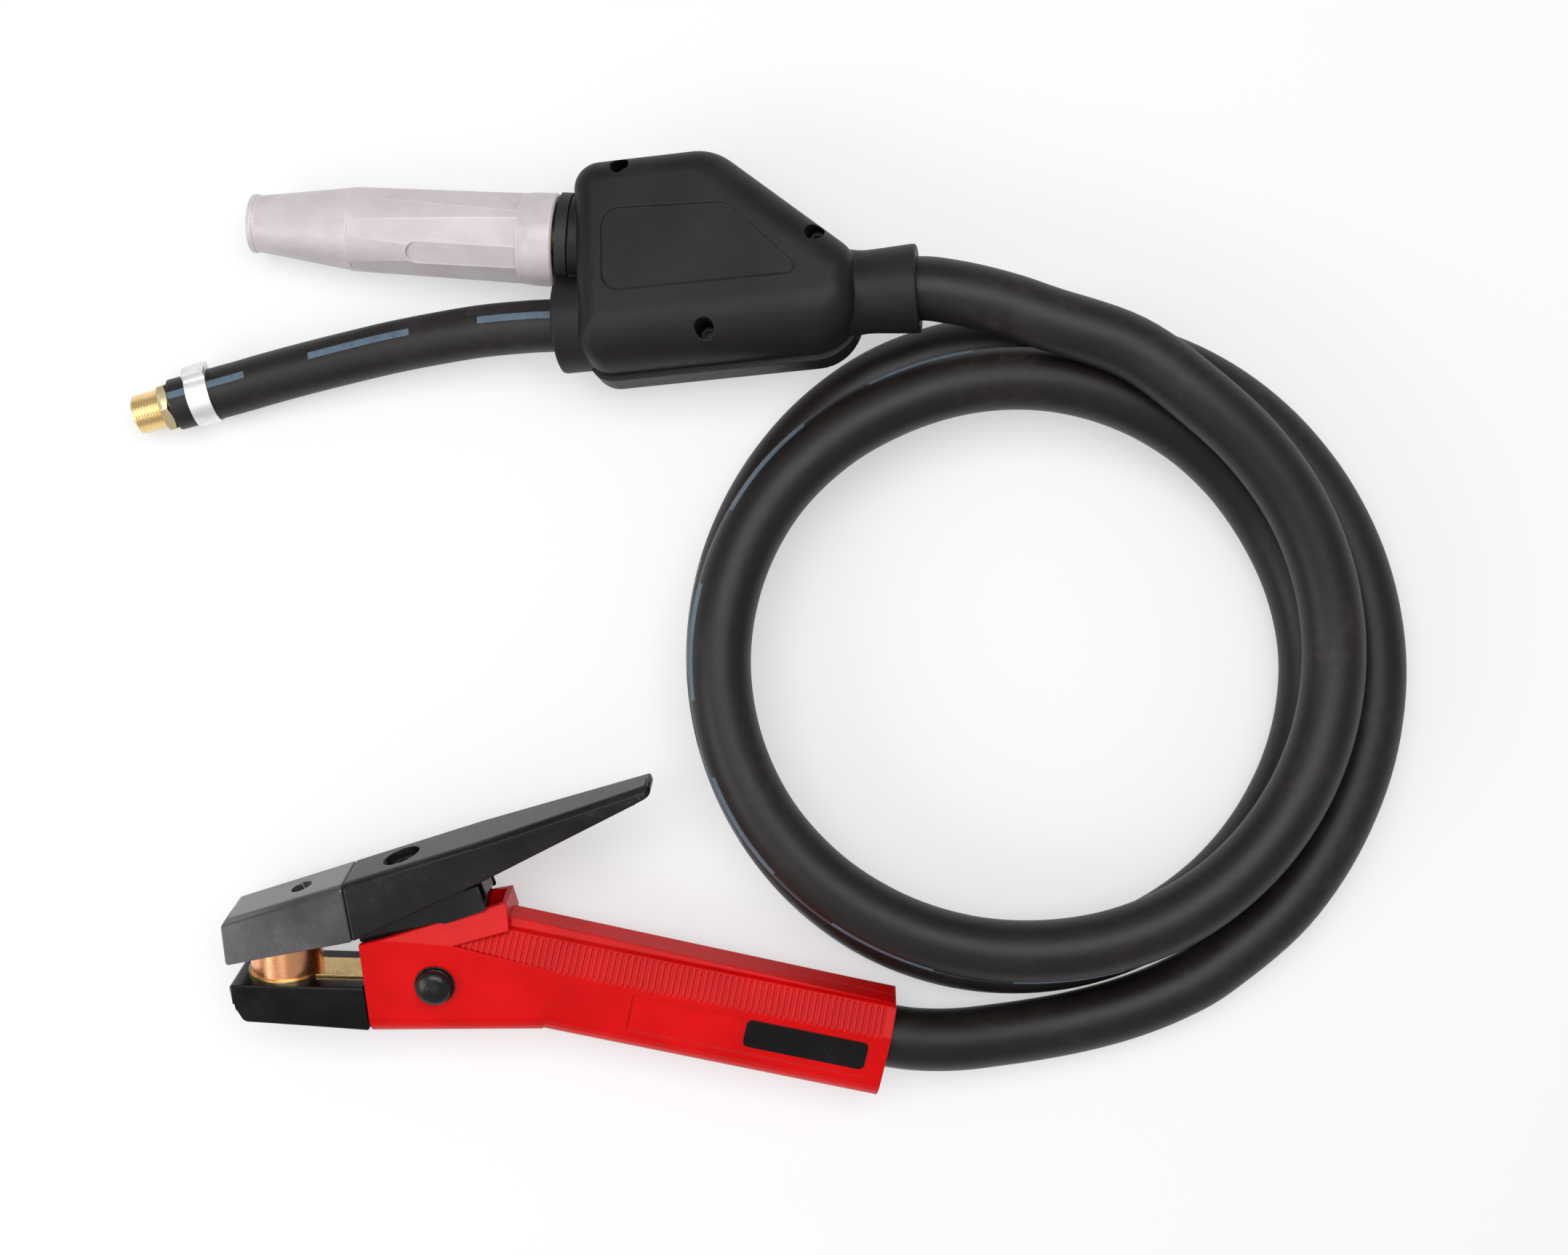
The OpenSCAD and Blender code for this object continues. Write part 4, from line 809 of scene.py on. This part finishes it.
def layer_at(corners: Sequence[Corner], inset: float | np.ndarray, z: float) -> np.ndarray:
    """A ring of points: the outline moved in by the inset, at one height."""
    ring = outline(corners, inset)
    return np.column_stack([ring, np.full(len(ring), z)])


def turned(name: str, profile: Sequence[tuple[float, float]], at: Point, axis: Point, sides: int = 64) -> bpy.types.Object:
    """A body of revolution: at + s axis + r (cos a u + sin a w), with (s, r) along the profile.

    Args:
        name: the body's name.
        profile: (distance along the axis, radius) pairs.
        at: the axis' start.
        axis: its direction.
        sides: points in each ring.

    Returns:
        The closed body.
    """
    k = np.asarray(axis, float) / np.linalg.norm(axis)
    u = np.cross(k, (0.0, 0.3, 1.0))
    u /= np.linalg.norm(u)
    w = np.cross(k, u)
    s, r = np.asarray(profile, float).T
    a = 2 * np.pi * np.arange(sides) / sides
    spoke = np.cos(a)[:, None] * u + np.sin(a)[:, None] * w
    return ringed(name, np.asarray(at) + s[:, None, None] * k + r[:, None, None] * spoke[None])


def ringed(name: str, rings: np.ndarray) -> bpy.types.Object:
    """A closed body from rings of points, n x m x 3, its first and last ring filled."""
    count, sides = rings.shape[:2]
    k, row = np.arange(sides), np.arange(count - 1)[:, None] * sides
    nxt = (k + 1) % sides
    faces = np.stack([row + k, row + nxt, row + nxt + sides, row + k + sides], -1).reshape(-1, 4).tolist()
    faces += [k[::-1].tolist(), (k + (count - 1) * sides).tolist()]
    data = bpy.data.meshes.new(name)
    data.from_pydata(rings.reshape(-1, 3).tolist(), [], faces)
    made = bpy.data.objects.new(name, data)
    bpy.context.scene.collection.objects.link(made)
    close_poles(made)
    return made


def combine(body: bpy.types.Object, operation: str, *tools: bpy.types.Object) -> bpy.types.Object:
    """Joins, cuts or crosses a body with others, which are used up.

    Args:
        body: the body that is changed.
        operation: UNION, DIFFERENCE or INTERSECT.
        *tools: the others, one after another.

    Returns:
        The body.
    """
    for tool in tools:
        cut = body.modifiers.new("joinery", "BOOLEAN")
        cut.operation, cut.solver, cut.object = operation, "EXACT", tool
        settle(body)
        bpy.data.meshes.remove(tool.data)
    return body


def settle(obj: bpy.types.Object) -> None:
    """Puts what an object's modifiers make into its mesh, and removes them."""
    bpy.context.view_layer.update()
    made = bpy.data.meshes.new_from_object(obj.evaluated_get(bpy.context.evaluated_depsgraph_get()))
    old = obj.data
    obj.modifiers.clear()
    obj.data = made
    bpy.data.meshes.remove(old)


def put(obj: bpy.types.Object, turn: np.ndarray, at: Point) -> bpy.types.Object:
    """Moves a body's mesh from its own frame to the bench: p' = T p + at."""
    co = np.empty(len(obj.data.vertices) * 3, np.float32)
    obj.data.vertices.foreach_get("co", co)
    obj.data.vertices.foreach_set("co", (co.reshape(-1, 3) @ turn.T + np.asarray(at)).astype(np.float32).ravel())
    obj.data.update()
    return obj


def turn_of(x: float, y: float, z: float) -> np.ndarray:
    """Turn by x, then y, then z degrees about the fixed axes: Rz Ry Rx."""
    a, b, c = np.radians((x, y, z))
    rx = np.array([[1, 0, 0], [0, np.cos(a), -np.sin(a)], [0, np.sin(a), np.cos(a)]])
    ry = np.array([[np.cos(b), 0, np.sin(b)], [0, 1, 0], [-np.sin(b), 0, np.cos(b)]])
    rz = np.array([[np.cos(c), -np.sin(c), 0], [np.sin(c), np.cos(c), 0], [0, 0, 1]])
    return rz @ ry @ rx


def shade(obj: bpy.types.Object, angle: float = 32.0) -> None:
    """Smooth shading with edges sharper than an angle kept."""
    obj.data.polygons.foreach_set("use_smooth", np.ones(len(obj.data.polygons), bool))
    obj.data.set_sharp_from_angle(angle=math.radians(angle))
    obj.data.update()


def eased_copy(node: str, name: str, ease: float, segments: int = 3, angle: float = 34.0,
               shortest: float = 0.0015) -> bpy.types.Object:
    """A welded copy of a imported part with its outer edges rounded.

    Args:
        node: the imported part.
        name: the piece's name.
        ease: the radius of its edges, in metres.
        segments: faces across each edge.
        angle: edges that turn by more than this, in degrees, are rounded.
        shortest: edges shorter than this stay sharp.

    Returns:
        The piece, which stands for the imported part.
    """
    work = bmesh.new()
    work.from_mesh(frame["nodes"][node].data)
    bmesh.ops.remove_doubles(work, verts=work.verts, dist=2e-6)
    bmesh.ops.dissolve_limit(work, angle_limit=math.radians(0.6), verts=work.verts, edges=work.edges)
    limit = math.radians(angle)
    picked = [e for e in work.edges
              if len(e.link_faces) == 2 and e.calc_face_angle_signed(0.0) > limit and e.calc_length() > shortest]
    bmesh.ops.bevel(work, geom=picked, offset=ease, offset_type="OFFSET", segments=segments, profile=0.5,
                    affect="EDGES", clamp_overlap=False, miter_outer="ARC", harden_normals=False)
    bmesh.ops.remove_doubles(work, verts=work.verts, dist=1e-6)
    data = bpy.data.meshes.new(name)
    work.to_mesh(data)
    work.free()
    made = bpy.data.objects.new(name, data)
    bpy.context.scene.collection.objects.link(made)
    shade(made)
    smooth = made.modifiers.new("even_normals", "WEIGHTED_NORMAL")
    smooth.keep_sharp = True
    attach(made, frame["nodes"][node]["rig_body"])
    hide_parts(node)
    LOG.info("%s: %d faces, %d eased edges", name, len(data.polygons), len(picked))
    return made


@dataclass
class CableSet:
    """The two hoses, the crimped ferrules and the swivel that they end in."""

    hose_radius: float = 0.0132
    whip_radius: float = 0.0111
    hose_exit: Point = (0.14384, 0.13835, 0.04879)
    whip_exit: Point = (-0.00636, 0.12605, 0.02832)
    hose_line: Sequence[tuple[float, float]] = (
        (0.0, -60), (0.10, -60), (0.15, 0), (0.2, 18), (0.26, 25), (0.33, 25), (0.40, 18), (0.44, -20), (0.48, -5),
        (0.53, 14), (0.60, 18), (0.66, 12), (0.71, -20), (0.80, -50), (0.88, 0), (0.92, 15), (0.955, 20), (1.0, 20))
    whip_line: Sequence[tuple[float, float]] = ((0.0, 106), (0.5, 108), (1.0, 104))

    def build(self, bench: Bench) -> None:
        """Args:
            bench: the finishes.
        """
        hose = Hose("power_hose_piece", HOSE_ROUTE, self.hose_radius, self.hose_line)
        piece = hose.build()
        bench.dress(piece, Slot.HOSE)
        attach(piece, "cable_set")
        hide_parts("main_hose")
        whip = Hose("air_whip_piece", WHIP_ROUTE, self.whip_radius, self.whip_line, steps=10, line_start=-0.0147)
        lead = whip.build()
        bench.dress(lead, Slot.HOSE)
        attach(lead, "cable_set")
        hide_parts("air_hose")
        AirFitting().build(bench)
        LOG.info("hose %.3f m, whip %.3f m", hose.length, whip.length)
        bench.dress_nodes(Slot.BRASS, "swivel_nipple", "swivel_nut")
        bench.dress_nodes(Slot.ALUMINIUM, "torch_ferrule", "cable_ferrule", "whip_ferrule")
        bench.dress_nodes(Slot.SEAL, "swivel_seals")
        bench.dress_nodes(Slot.STEEL, "ear_clamp")


@dataclass
class AirFitting:
    """The hexagon and the tapered pipe thread at the end of the air whip, along the whip's own axis."""

    at: Point = (-0.1744, 0.0941, 0.0122)
    tilt: tuple[float, float, float] = (0.0, -0.5, 15.3)
    hexagon: float = 0.005
    across: float = 0.019
    thread: float = 0.0125
    crest: float = 0.00855
    depth: float = 0.0009
    pitch: float = 0.00128
    bore: float = 0.0055
    sides: int = 64
    rows: int = 264

    def _thread(self) -> bpy.types.Object:
        """The thread: at s along it and a round it the radius is c - d (1 - cos(2 pi s / p + a)) / 2, c the
        crest's radius, d the depth and p the pitch, and it fades at both ends.

        Returns:
            The closed body, its axis along X.
        """
        reach = self.thread + 0.0012
        s = np.linspace(0.0, 1.0, self.rows) * reach
        a = 2 * np.pi * np.arange(self.sides) / self.sides
        groove = (1 - np.cos(2 * np.pi * s[:, None] / self.pitch + a[None, :])) / 2
        fade = np.clip((s - (reach - 0.0022)) / 0.001, 0, 1) + np.clip((0.0016 - s) / 0.0016, 0, 1) ** 2
        groove = np.maximum(groove, np.clip(fade, 0, 1)[:, None])
        radius = self.crest - self.depth * groove - 0.0007 * np.clip((0.0016 - s) / 0.0016, 0, 1)[:, None] ** 2
        x = -self.hexagon - self.thread + s
        rings = np.stack([np.broadcast_to(x[:, None], radius.shape), radius * np.cos(a), radius * np.sin(a)], -1)
        return ringed("thread", rings)

    def build(self, bench: Bench) -> bpy.types.Object:
        """Joins the thread and the chamfered hexagon, bores them and lays the fitting at the whip's end.

        Args:
            bench: the finishes.

        Returns:
            The piece.
        """
        x_axis, corner = (1.0, 0.0, 0.0), self.across / 2 / math.cos(math.pi / 6)
        nut = turned("nut", ((-self.hexagon, corner), (-0.0006, corner)), (0.0, 0.0, 0.0), x_axis, 6)
        flat = self.across / 2 - 0.0002
        chamfer = turned("chamfer", ((-self.hexagon - 0.0001, flat), (-self.hexagon + 0.0008, corner),
                                     (-0.0014, corner), (-0.0005, flat)), (0.0, 0.0, 0.0), x_axis)
        combine(nut, "INTERSECT", chamfer)
        collar = turned("collar", ((-0.002, 0.009), (0.0, 0.009)), (0.0, 0.0, 0.0), x_axis)
        combine(nut, "UNION", self._thread(), collar)
        bore, tip = ((-0.03, self.bore), (0.01, self.bore)), self.hexagon + self.thread
        mouth = ((-tip - 0.001, self.bore + 0.0016), (-tip + 0.0008, self.bore))
        combine(nut, "DIFFERENCE", turned("bore", bore, (0.0, 0.0, 0.0), x_axis),
                turned("mouth", mouth, (0.0, 0.0, 0.0), x_axis))
        nut.name = "air_fitting_piece"
        put(nut, turn_of(*self.tilt), self.at)
        close_poles(nut)
        shade(nut, 50.0)
        bench.dress(nut, Slot.BRASS, FITTING_BRASS)
        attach(nut, "cable_set")
        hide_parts("air_fitting")
        LOG.info("air_fitting_piece: %d faces", len(nut.data.polygons))
        return nut


@dataclass
class Boot:
    """The two-half boot with the junction block inside it, drawn in the boot's own frame."""

    at: Point = (0.002, 0.145, 0.027)
    tilt: tuple[float, float, float] = (-8.0, -8.0, 2.8)
    top: float = 0.025
    bottom: float = -0.022
    wall: float = 0.003
    ledge: float = 0.0024
    ledge_edge: float = 0.009
    outline: Sequence[Corner] = (
        Corner(0.0025, -0.0425, 0.011, 0.0215), Corner(0.1195, -0.0381, 0.020, 0.0115),
        Corner(0.118, 0.0005, 0.014, 0.0150),
        Corner(0.0620, 0.0478, 0.021, 0.012), Corner(0.0015, 0.0456, 0.0115, 0.0095))
    panel: Sequence[Corner] = (
        Corner(0.0142, -0.0128, 0.007), Corner(0.0925, -0.0108, 0.002), Corner(0.0955, -0.0075, 0.003),
        Corner(0.0675, 0.0213, 0.009), Corner(0.0145, 0.0225, 0.008))
    screws: Sequence[tuple[float, float]] = ((0.0222, 0.0414), (0.1026, 0.0069), (0.0562, -0.0304))
    screw_seat: float = 0.008
    neck_y: float = -0.0137
    neck_end: float = 0.143
    air_y: float = -0.0187
    plug_at: Point = (-0.003, 0.1624, 0.0245)
    plug_tilt: tuple[float, float, float] = (0.0, -3.5, -3.8)

    def _along(self, name: str, y: float, profile: Sequence[tuple[float, float]]) -> bpy.types.Object:
        """A turned body along the boot's X at the height of its parting plane."""
        return turned(name, profile, (0.0, y, 0.0), (1.0, 0.0, 0.0))

    def _bolt(self, name: str, x: float, y: float, low: float, high: float, r: float) -> bpy.types.Object:
        """A round bar across the boot."""
        return turned(name, ((low, r), (high, r)), (x, y, 0.0), (0.0, 0.0, 1.0), 40)

    def _body(self, upper: bool) -> bpy.types.Object:
        """The outside of both halves as one body: the cushion, the flared neck and the air neck.

        Args:
            upper: whether it is for the upper half; on the lower one the side below the hose stands out.

        Returns:
            The body, in the boot's frame.
        """
        corners = list(self.outline)
        if not upper:
            low, right = corners[:2]
            corners[:2] = [Corner(low.x, low.y - self.ledge, low.r, self.ledge_edge),
                           Corner(right.x, right.y - self.ledge, right.r, right.edge)]
        body = cushion("boot_body", corners, self.bottom, self.top)
        s = np.linspace(0, 1, 10)
        flare = [(0.104 + 0.0185 * t, 0.0216 - 0.0044 * math.sin(math.pi / 2 * t)) for t in s]
        neck = flare + [(0.1265, 0.0174), (self.neck_end - 0.0022, 0.0184), (self.neck_end - 0.0006, 0.0183),
                        (self.neck_end, 0.0176)]
        air = [(0.010, 0.0200), (-0.0076, 0.0205), (-0.0086, 0.0202), (-0.009, 0.0194)]
        combine(body, "UNION", self._along("neck", self.neck_y, neck), self._along("air_neck", self.air_y, air))
        return body

    def _plug_axis(self, name: str, profile: Sequence[tuple[float, float]]) -> bpy.types.Object:
        """A turned body along the connector's axis, seen from the boot's frame."""
        turn, back = turn_of(*self.plug_tilt), turn_of(*self.tilt).T
        made = turned(name, profile, (0.0, 0.0, 0.0), (1.0, 0.0, 0.0))
        put(made, turn, self.plug_at)
        return put(made, back, tuple(-back @ np.asarray(self.at)))

    def _hollow(self, body: bpy.types.Object) -> None:
        """Cuts the cavity, the bores and the bare panel out of the body."""
        w = self.wall
        combine(body, "UNION", self._plug_axis("plug_neck", ((0.0015, 0.0194), (0.0022, 0.0202), (0.012, 0.0202))))
        inner = [Corner(c.x, c.y, c.r + 0.001, max(c.edge - w, 0.006)) for c in self.outline]
        cavity = cushion("cavity", inner, self.bottom + w, self.top - w, w, rounds=14)
        combine(cavity, "DIFFERENCE", *(self._bolt(f"post_{i}", x, y, -0.04, 0.04, 0.0062)
                                        for i, (x, y) in enumerate(self.screws)))
        combine(body, "DIFFERENCE", cavity,
                self._along("hose_bore", self.neck_y, ((0.108, 0.01335), (0.16, 0.01335))),
                self._along("whip_bore", self.air_y, ((-0.02, 0.0113), (0.02, 0.0113))),
                self._along("whip_mouth", self.air_y, ((-0.02, 0.0161), (-0.004, 0.0161), (-0.0025, 0.0113))),
                self._plug_axis("plug_bore", ((-0.01, 0.0095), (0.03, 0.0095))))
        for i, (x, y) in enumerate(self.screws):
            combine(body, "DIFFERENCE", self._bolt(f"hole_{i}", x, y, -0.04, 0.04, 0.0016),
                    self._bolt(f"sink_{i}", x, y, self.screw_seat, 0.04, 0.004))
        panel = np.stack([layer_at(self.panel, d, z) for d, z in (
            (0.0009, self.top - 0.0010), (0.0003, self.top - 0.0009), (0.0, self.top - 0.0003),
            (-0.0005, self.top + 0.0005))])
        combine(body, "DIFFERENCE", ringed("panel", panel))

    def build(self, bench: Bench) -> None:
        """Makes both halves and dresses the parts inside them.

        Args:
            bench: the finishes.
        """
        for name, node, low, high in (("boot_upper_moulding", "boot_top", 0.0, 0.06),
                                      ("boot_lower_moulding", "boot_base", -0.06, -0.00008)):
            half = self._body(low == 0.0)
            self._hollow(half)
            slab = [Corner(-0.05, -0.08, 0.001), Corner(0.2, -0.08, 0.001), Corner(0.2, 0.08, 0.001),
                    Corner(-0.05, 0.08, 0.001)]
            block = np.stack([layer_at(slab, 0.0, z) for z in (low, high)])
            combine(half, "INTERSECT", ringed("keep", block))
            half.name = name
            put(half, turn_of(*self.tilt), self.at)
            close_poles(half)
            shade(half)
            even = half.modifiers.new("even_normals", "WEIGHTED_NORMAL")
            even.keep_sharp = True
            bench.dress(half, Slot.BOOT)
            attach(half, "cable_set")
            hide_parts(node)
            LOG.info("%s: %d faces", name, len(half.data.polygons))
        bench.dress_nodes(Slot.DARK_STEEL, "boot_screws")
        bench.dress_nodes(Slot.BRASS, "junction_block", "air_nipple")


@dataclass
class PowerConnector:
    """The twist-lock power connector in its vinyl sleeve."""

    def build(self, bench: Bench) -> None:
        """Dresses the connector's parts."""
        bench.dress_nodes(Slot.SLEEVE, "connector_sleeve")
        bench.dress_nodes(Slot.BRASS, "power_plug", "power_socket")
        bench.dress_nodes(Slot.SEAL, "flange_seal")
        bench.dress_nodes(Slot.DARK_STEEL, "cable_screw")


@dataclass
class Torch:
    """Handle, jaw and valve of the torch."""

    def build(self, bench: Bench) -> None:
        """Dresses the torch's parts."""
        bench.dress_nodes(Slot.HANDLE, "handle_near", "handle_far")
        bench.dress_nodes(Slot.LABEL, "name_label")
        bench.dress_nodes(Slot.DARK_STEEL, "handle_screws")
        bench.dress_nodes(Slot.BRASS, "torch_body", "valve_spool")
        bench.eased(Slot.INSULATOR, "lower_insulator", "lower_jaw_insulator", 0.0011)
        bench.dress_nodes(Slot.COPPER, "head")
        bench.dress_nodes(Slot.STEEL, "insulator_screw", "head_washer", "head_screw", "pivot_pin", "pin_clips",
                          "lever_spring")
        bench.dress_nodes(Slot.SEAL, "valve_seals")
        bench.dress_nodes(Slot.BUTTON, "button_near", "button_far", "button_rings")


@dataclass
class Lever:
    """The sprung lever with the upper jaw. Its cheeks are drawn in the lever's own frame, about its pin."""

    torch_at: Point = (0.132, -0.176, 0.0211)
    torch_tilt: tuple[float, float, float] = (17.0, 1.6, -11.7)
    pin_at: Point = (-0.204, 0.006, 0.0)
    angle: float = 30.5
    cheek: Sequence[Corner] = (
        Corner(-0.0205, 0.0050, 0.001), Corner(-0.0120, 0.0020, 0.003), Corner(0.0345, 0.0036, 0.001),
        Corner(0.0345, 0.0150, 0.001), Corner(-0.0205, 0.0150, 0.001))
    cheek_from: float = 0.0122
    cheek_to: float = 0.0136

    def _cheek(self, side: int) -> bpy.types.Object:
        """One black cheek beside the pin, at +Z or -Z of the lever.

        Args:
            side: 1 or -1.

        Returns:
            The piece.
        """
        low, high = sorted((side * self.cheek_from, side * self.cheek_to))
        made = ringed("pin_cheek_near" if side > 0 else "pin_cheek_far", np.stack([
            layer_at(self.cheek, d, z) for d, z in ((0.0004, low), (0.0, low + 0.0004), (0.0, high - 0.0004),
                                                    (0.0004, high))]))
        torch = turn_of(*self.torch_tilt)
        put(made, turn_of(0.0, 0.0, self.angle), self.pin_at)
        put(made, torch, self.torch_at)
        shade(made)
        return made

    def build(self, bench: Bench) -> None:
        """Makes the cheeks and dresses the lever's parts."""
        for side in (1, -1):
            made = self._cheek(side)
            bench.dress(made, Slot.LEVER)
            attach(made, "lever")
        bench.eased(Slot.LEVER, "lever_grip", "lever_moulding", 0.0012)
        # The upper jaw's insulator takes the lighter black with the painted sheen and painted highlight.
        bench.eased(Slot.INSULATOR, "front_insulator", "upper_jaw_insulator", 0.0009, JAW_PAINTED_SHEEN)
        bench.dress_nodes(Slot.LEVER, "pivot_block")
        bench.dress_nodes(Slot.BRASS, "upper_arm")
        bench.dress_nodes(Slot.DARK_STEEL, "lever_screws")


@dataclass
class Studio:
    """The bench top, the soft lamps and the camera above it."""

    camera_at: Point = (0.088, -0.002, 0.922)
    lens: float = 48.42
    sensor: float = 36.0
    floor_size: float = 8.0
    floor_colour: Colour = (0.86, 0.86, 0.865)
    key_watts: float = 17.0
    fill_watts: float = 7.0
    low_watts: float = 0.6
    air_colour: Colour = (0.97, 0.98, 1.0)
    air_strength: float = 0.45

    def camera(self) -> None:
        """A camera straight above the bench, its picture's top towards +Y."""
        data = bpy.data.cameras.new("overhead_camera")
        data.lens, data.sensor_width, data.sensor_fit = self.lens, self.sensor, "HORIZONTAL"
        data.clip_start, data.clip_end = 0.02, 60.0
        made = bpy.data.objects.new("overhead_camera", data)
        made.location = self.camera_at
        bpy.context.scene.collection.objects.link(made)
        bpy.context.scene.camera = made

    def lamp(self, name: str, at: Point, aim: Point, size: tuple[float, float], watts: float) -> None:
        """A rectangular soft lamp.

        Args:
            name: the lamp's name.
            at: where it hangs.
            aim: the point that it faces.
            size: its width and height in metres.
            watts: its power.
        """
        data = bpy.data.lights.new(name, "AREA")
        data.shape, data.size, data.size_y, data.energy = "RECTANGLE", size[0], size[1], watts
        made = bpy.data.objects.new(name, data)
        made.location = at
        way = np.asarray(aim, float) - np.asarray(at, float)
        made.rotation_euler = (math.acos(-way[2] / float(np.linalg.norm(way))), 0.0,
                               math.atan2(way[1], way[0]) - math.pi / 2 if np.hypot(way[0], way[1]) > 1e-6 else 0.0)
        bpy.context.scene.collection.objects.link(made)

    def floor(self) -> None:
        """A pale bench top: it shows white to the camera, and keeps the shadows of what lies on it."""
        half = self.floor_size / 2
        corners = np.array([[-half, -half, 0], [half, -half, 0], [half, half, 0], [-half, half, 0]], float)
        made = mesh_piece("bench_top", corners - np.array([0.0, 0.0, 0.0002]), np.array([[0, 1, 2, 3]]))
        g = Graph("bench_paper")
        seen = g.node("ShaderNodeLightPath")
        rays = Value(g, seen.outputs["Is Camera Ray"]) + Value(g, seen.outputs["Is Glossy Ray"]) + Value(
            g, seen.outputs["Is Transmission Ray"])
        paper = g.node("ShaderNodeBsdfDiffuse", {}, {"Color": g.blend(
            g.noise(g.place(), 0.4).step(0.3, 0.7), self.floor_colour, tuple(c * 0.985 for c in self.floor_colour))})
        glow = g.node("ShaderNodeEmission", {}, {"Color": (1.0, 1.0, 1.0), "Strength": 1.0})
        mixed = g.node("ShaderNodeMixShader", {}, {0: rays.at_most(1.0) * 0.45, 1: paper.outputs[0], 2: glow.outputs[0]})
        g.node("ShaderNodeOutputMaterial", {}, {"Surface": mixed.outputs[0]})
        made.data.materials.append(g.material)
        made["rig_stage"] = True

    def world(self) -> None:
        """A soft plain light from all round."""
        world = bpy.data.worlds.new("studio_air")
        world.use_nodes = True
        tree = world.node_tree
        tree.nodes.clear()
        air, out = tree.nodes.new("ShaderNodeBackground"), tree.nodes.new("ShaderNodeOutputWorld")
        air.inputs[0].default_value, air.inputs[1].default_value = (*self.air_colour, 1.0), self.air_strength
        tree.links.new(air.outputs[0], out.inputs[0])
        bpy.context.scene.world = world

    def build(self) -> None:
        """The floor, the lamps, the world and the plain view settings."""
        self.floor()
        self.world()
        self.lamp("overhead_softbox", (0.05, 0.30, 1.5), (0.08, 0.0, 0.0), (1.5, 1.0), self.key_watts)
        self.lamp("side_softbox", (-1.1, -0.5, 0.9), (0.05, -0.05, 0.0), (0.9, 0.7), self.fill_watts)
        self.lamp("low_softbox", (-0.25, -0.80, 1.05), (-0.1, -0.1, 0.0), (0.5, 0.4), self.low_watts)
        bpy.context.scene.view_settings.view_transform = "Standard"


def bounds_list() -> list[list[float]]:
    """The shown object's lowest and highest corner, as plain lists."""
    bpy.context.view_layer.update()
    return [[float(c) for c in corner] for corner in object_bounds()]


def main() -> None:
    """Builds the scene in order."""
    logging.basicConfig(level=logging.INFO, format="%(message)s")
    cad_box = bounds_list()
    bench = Bench()
    studio = Studio()
    studio.camera()
    CableSet().build(bench)
    Boot().build(bench)
    PowerConnector().build(bench)
    Torch().build(bench)
    Lever().build(bench)
    studio.build()
    {"cad": cad_box, "visual": bounds_list()}


if __name__ == "__main__":
    main()
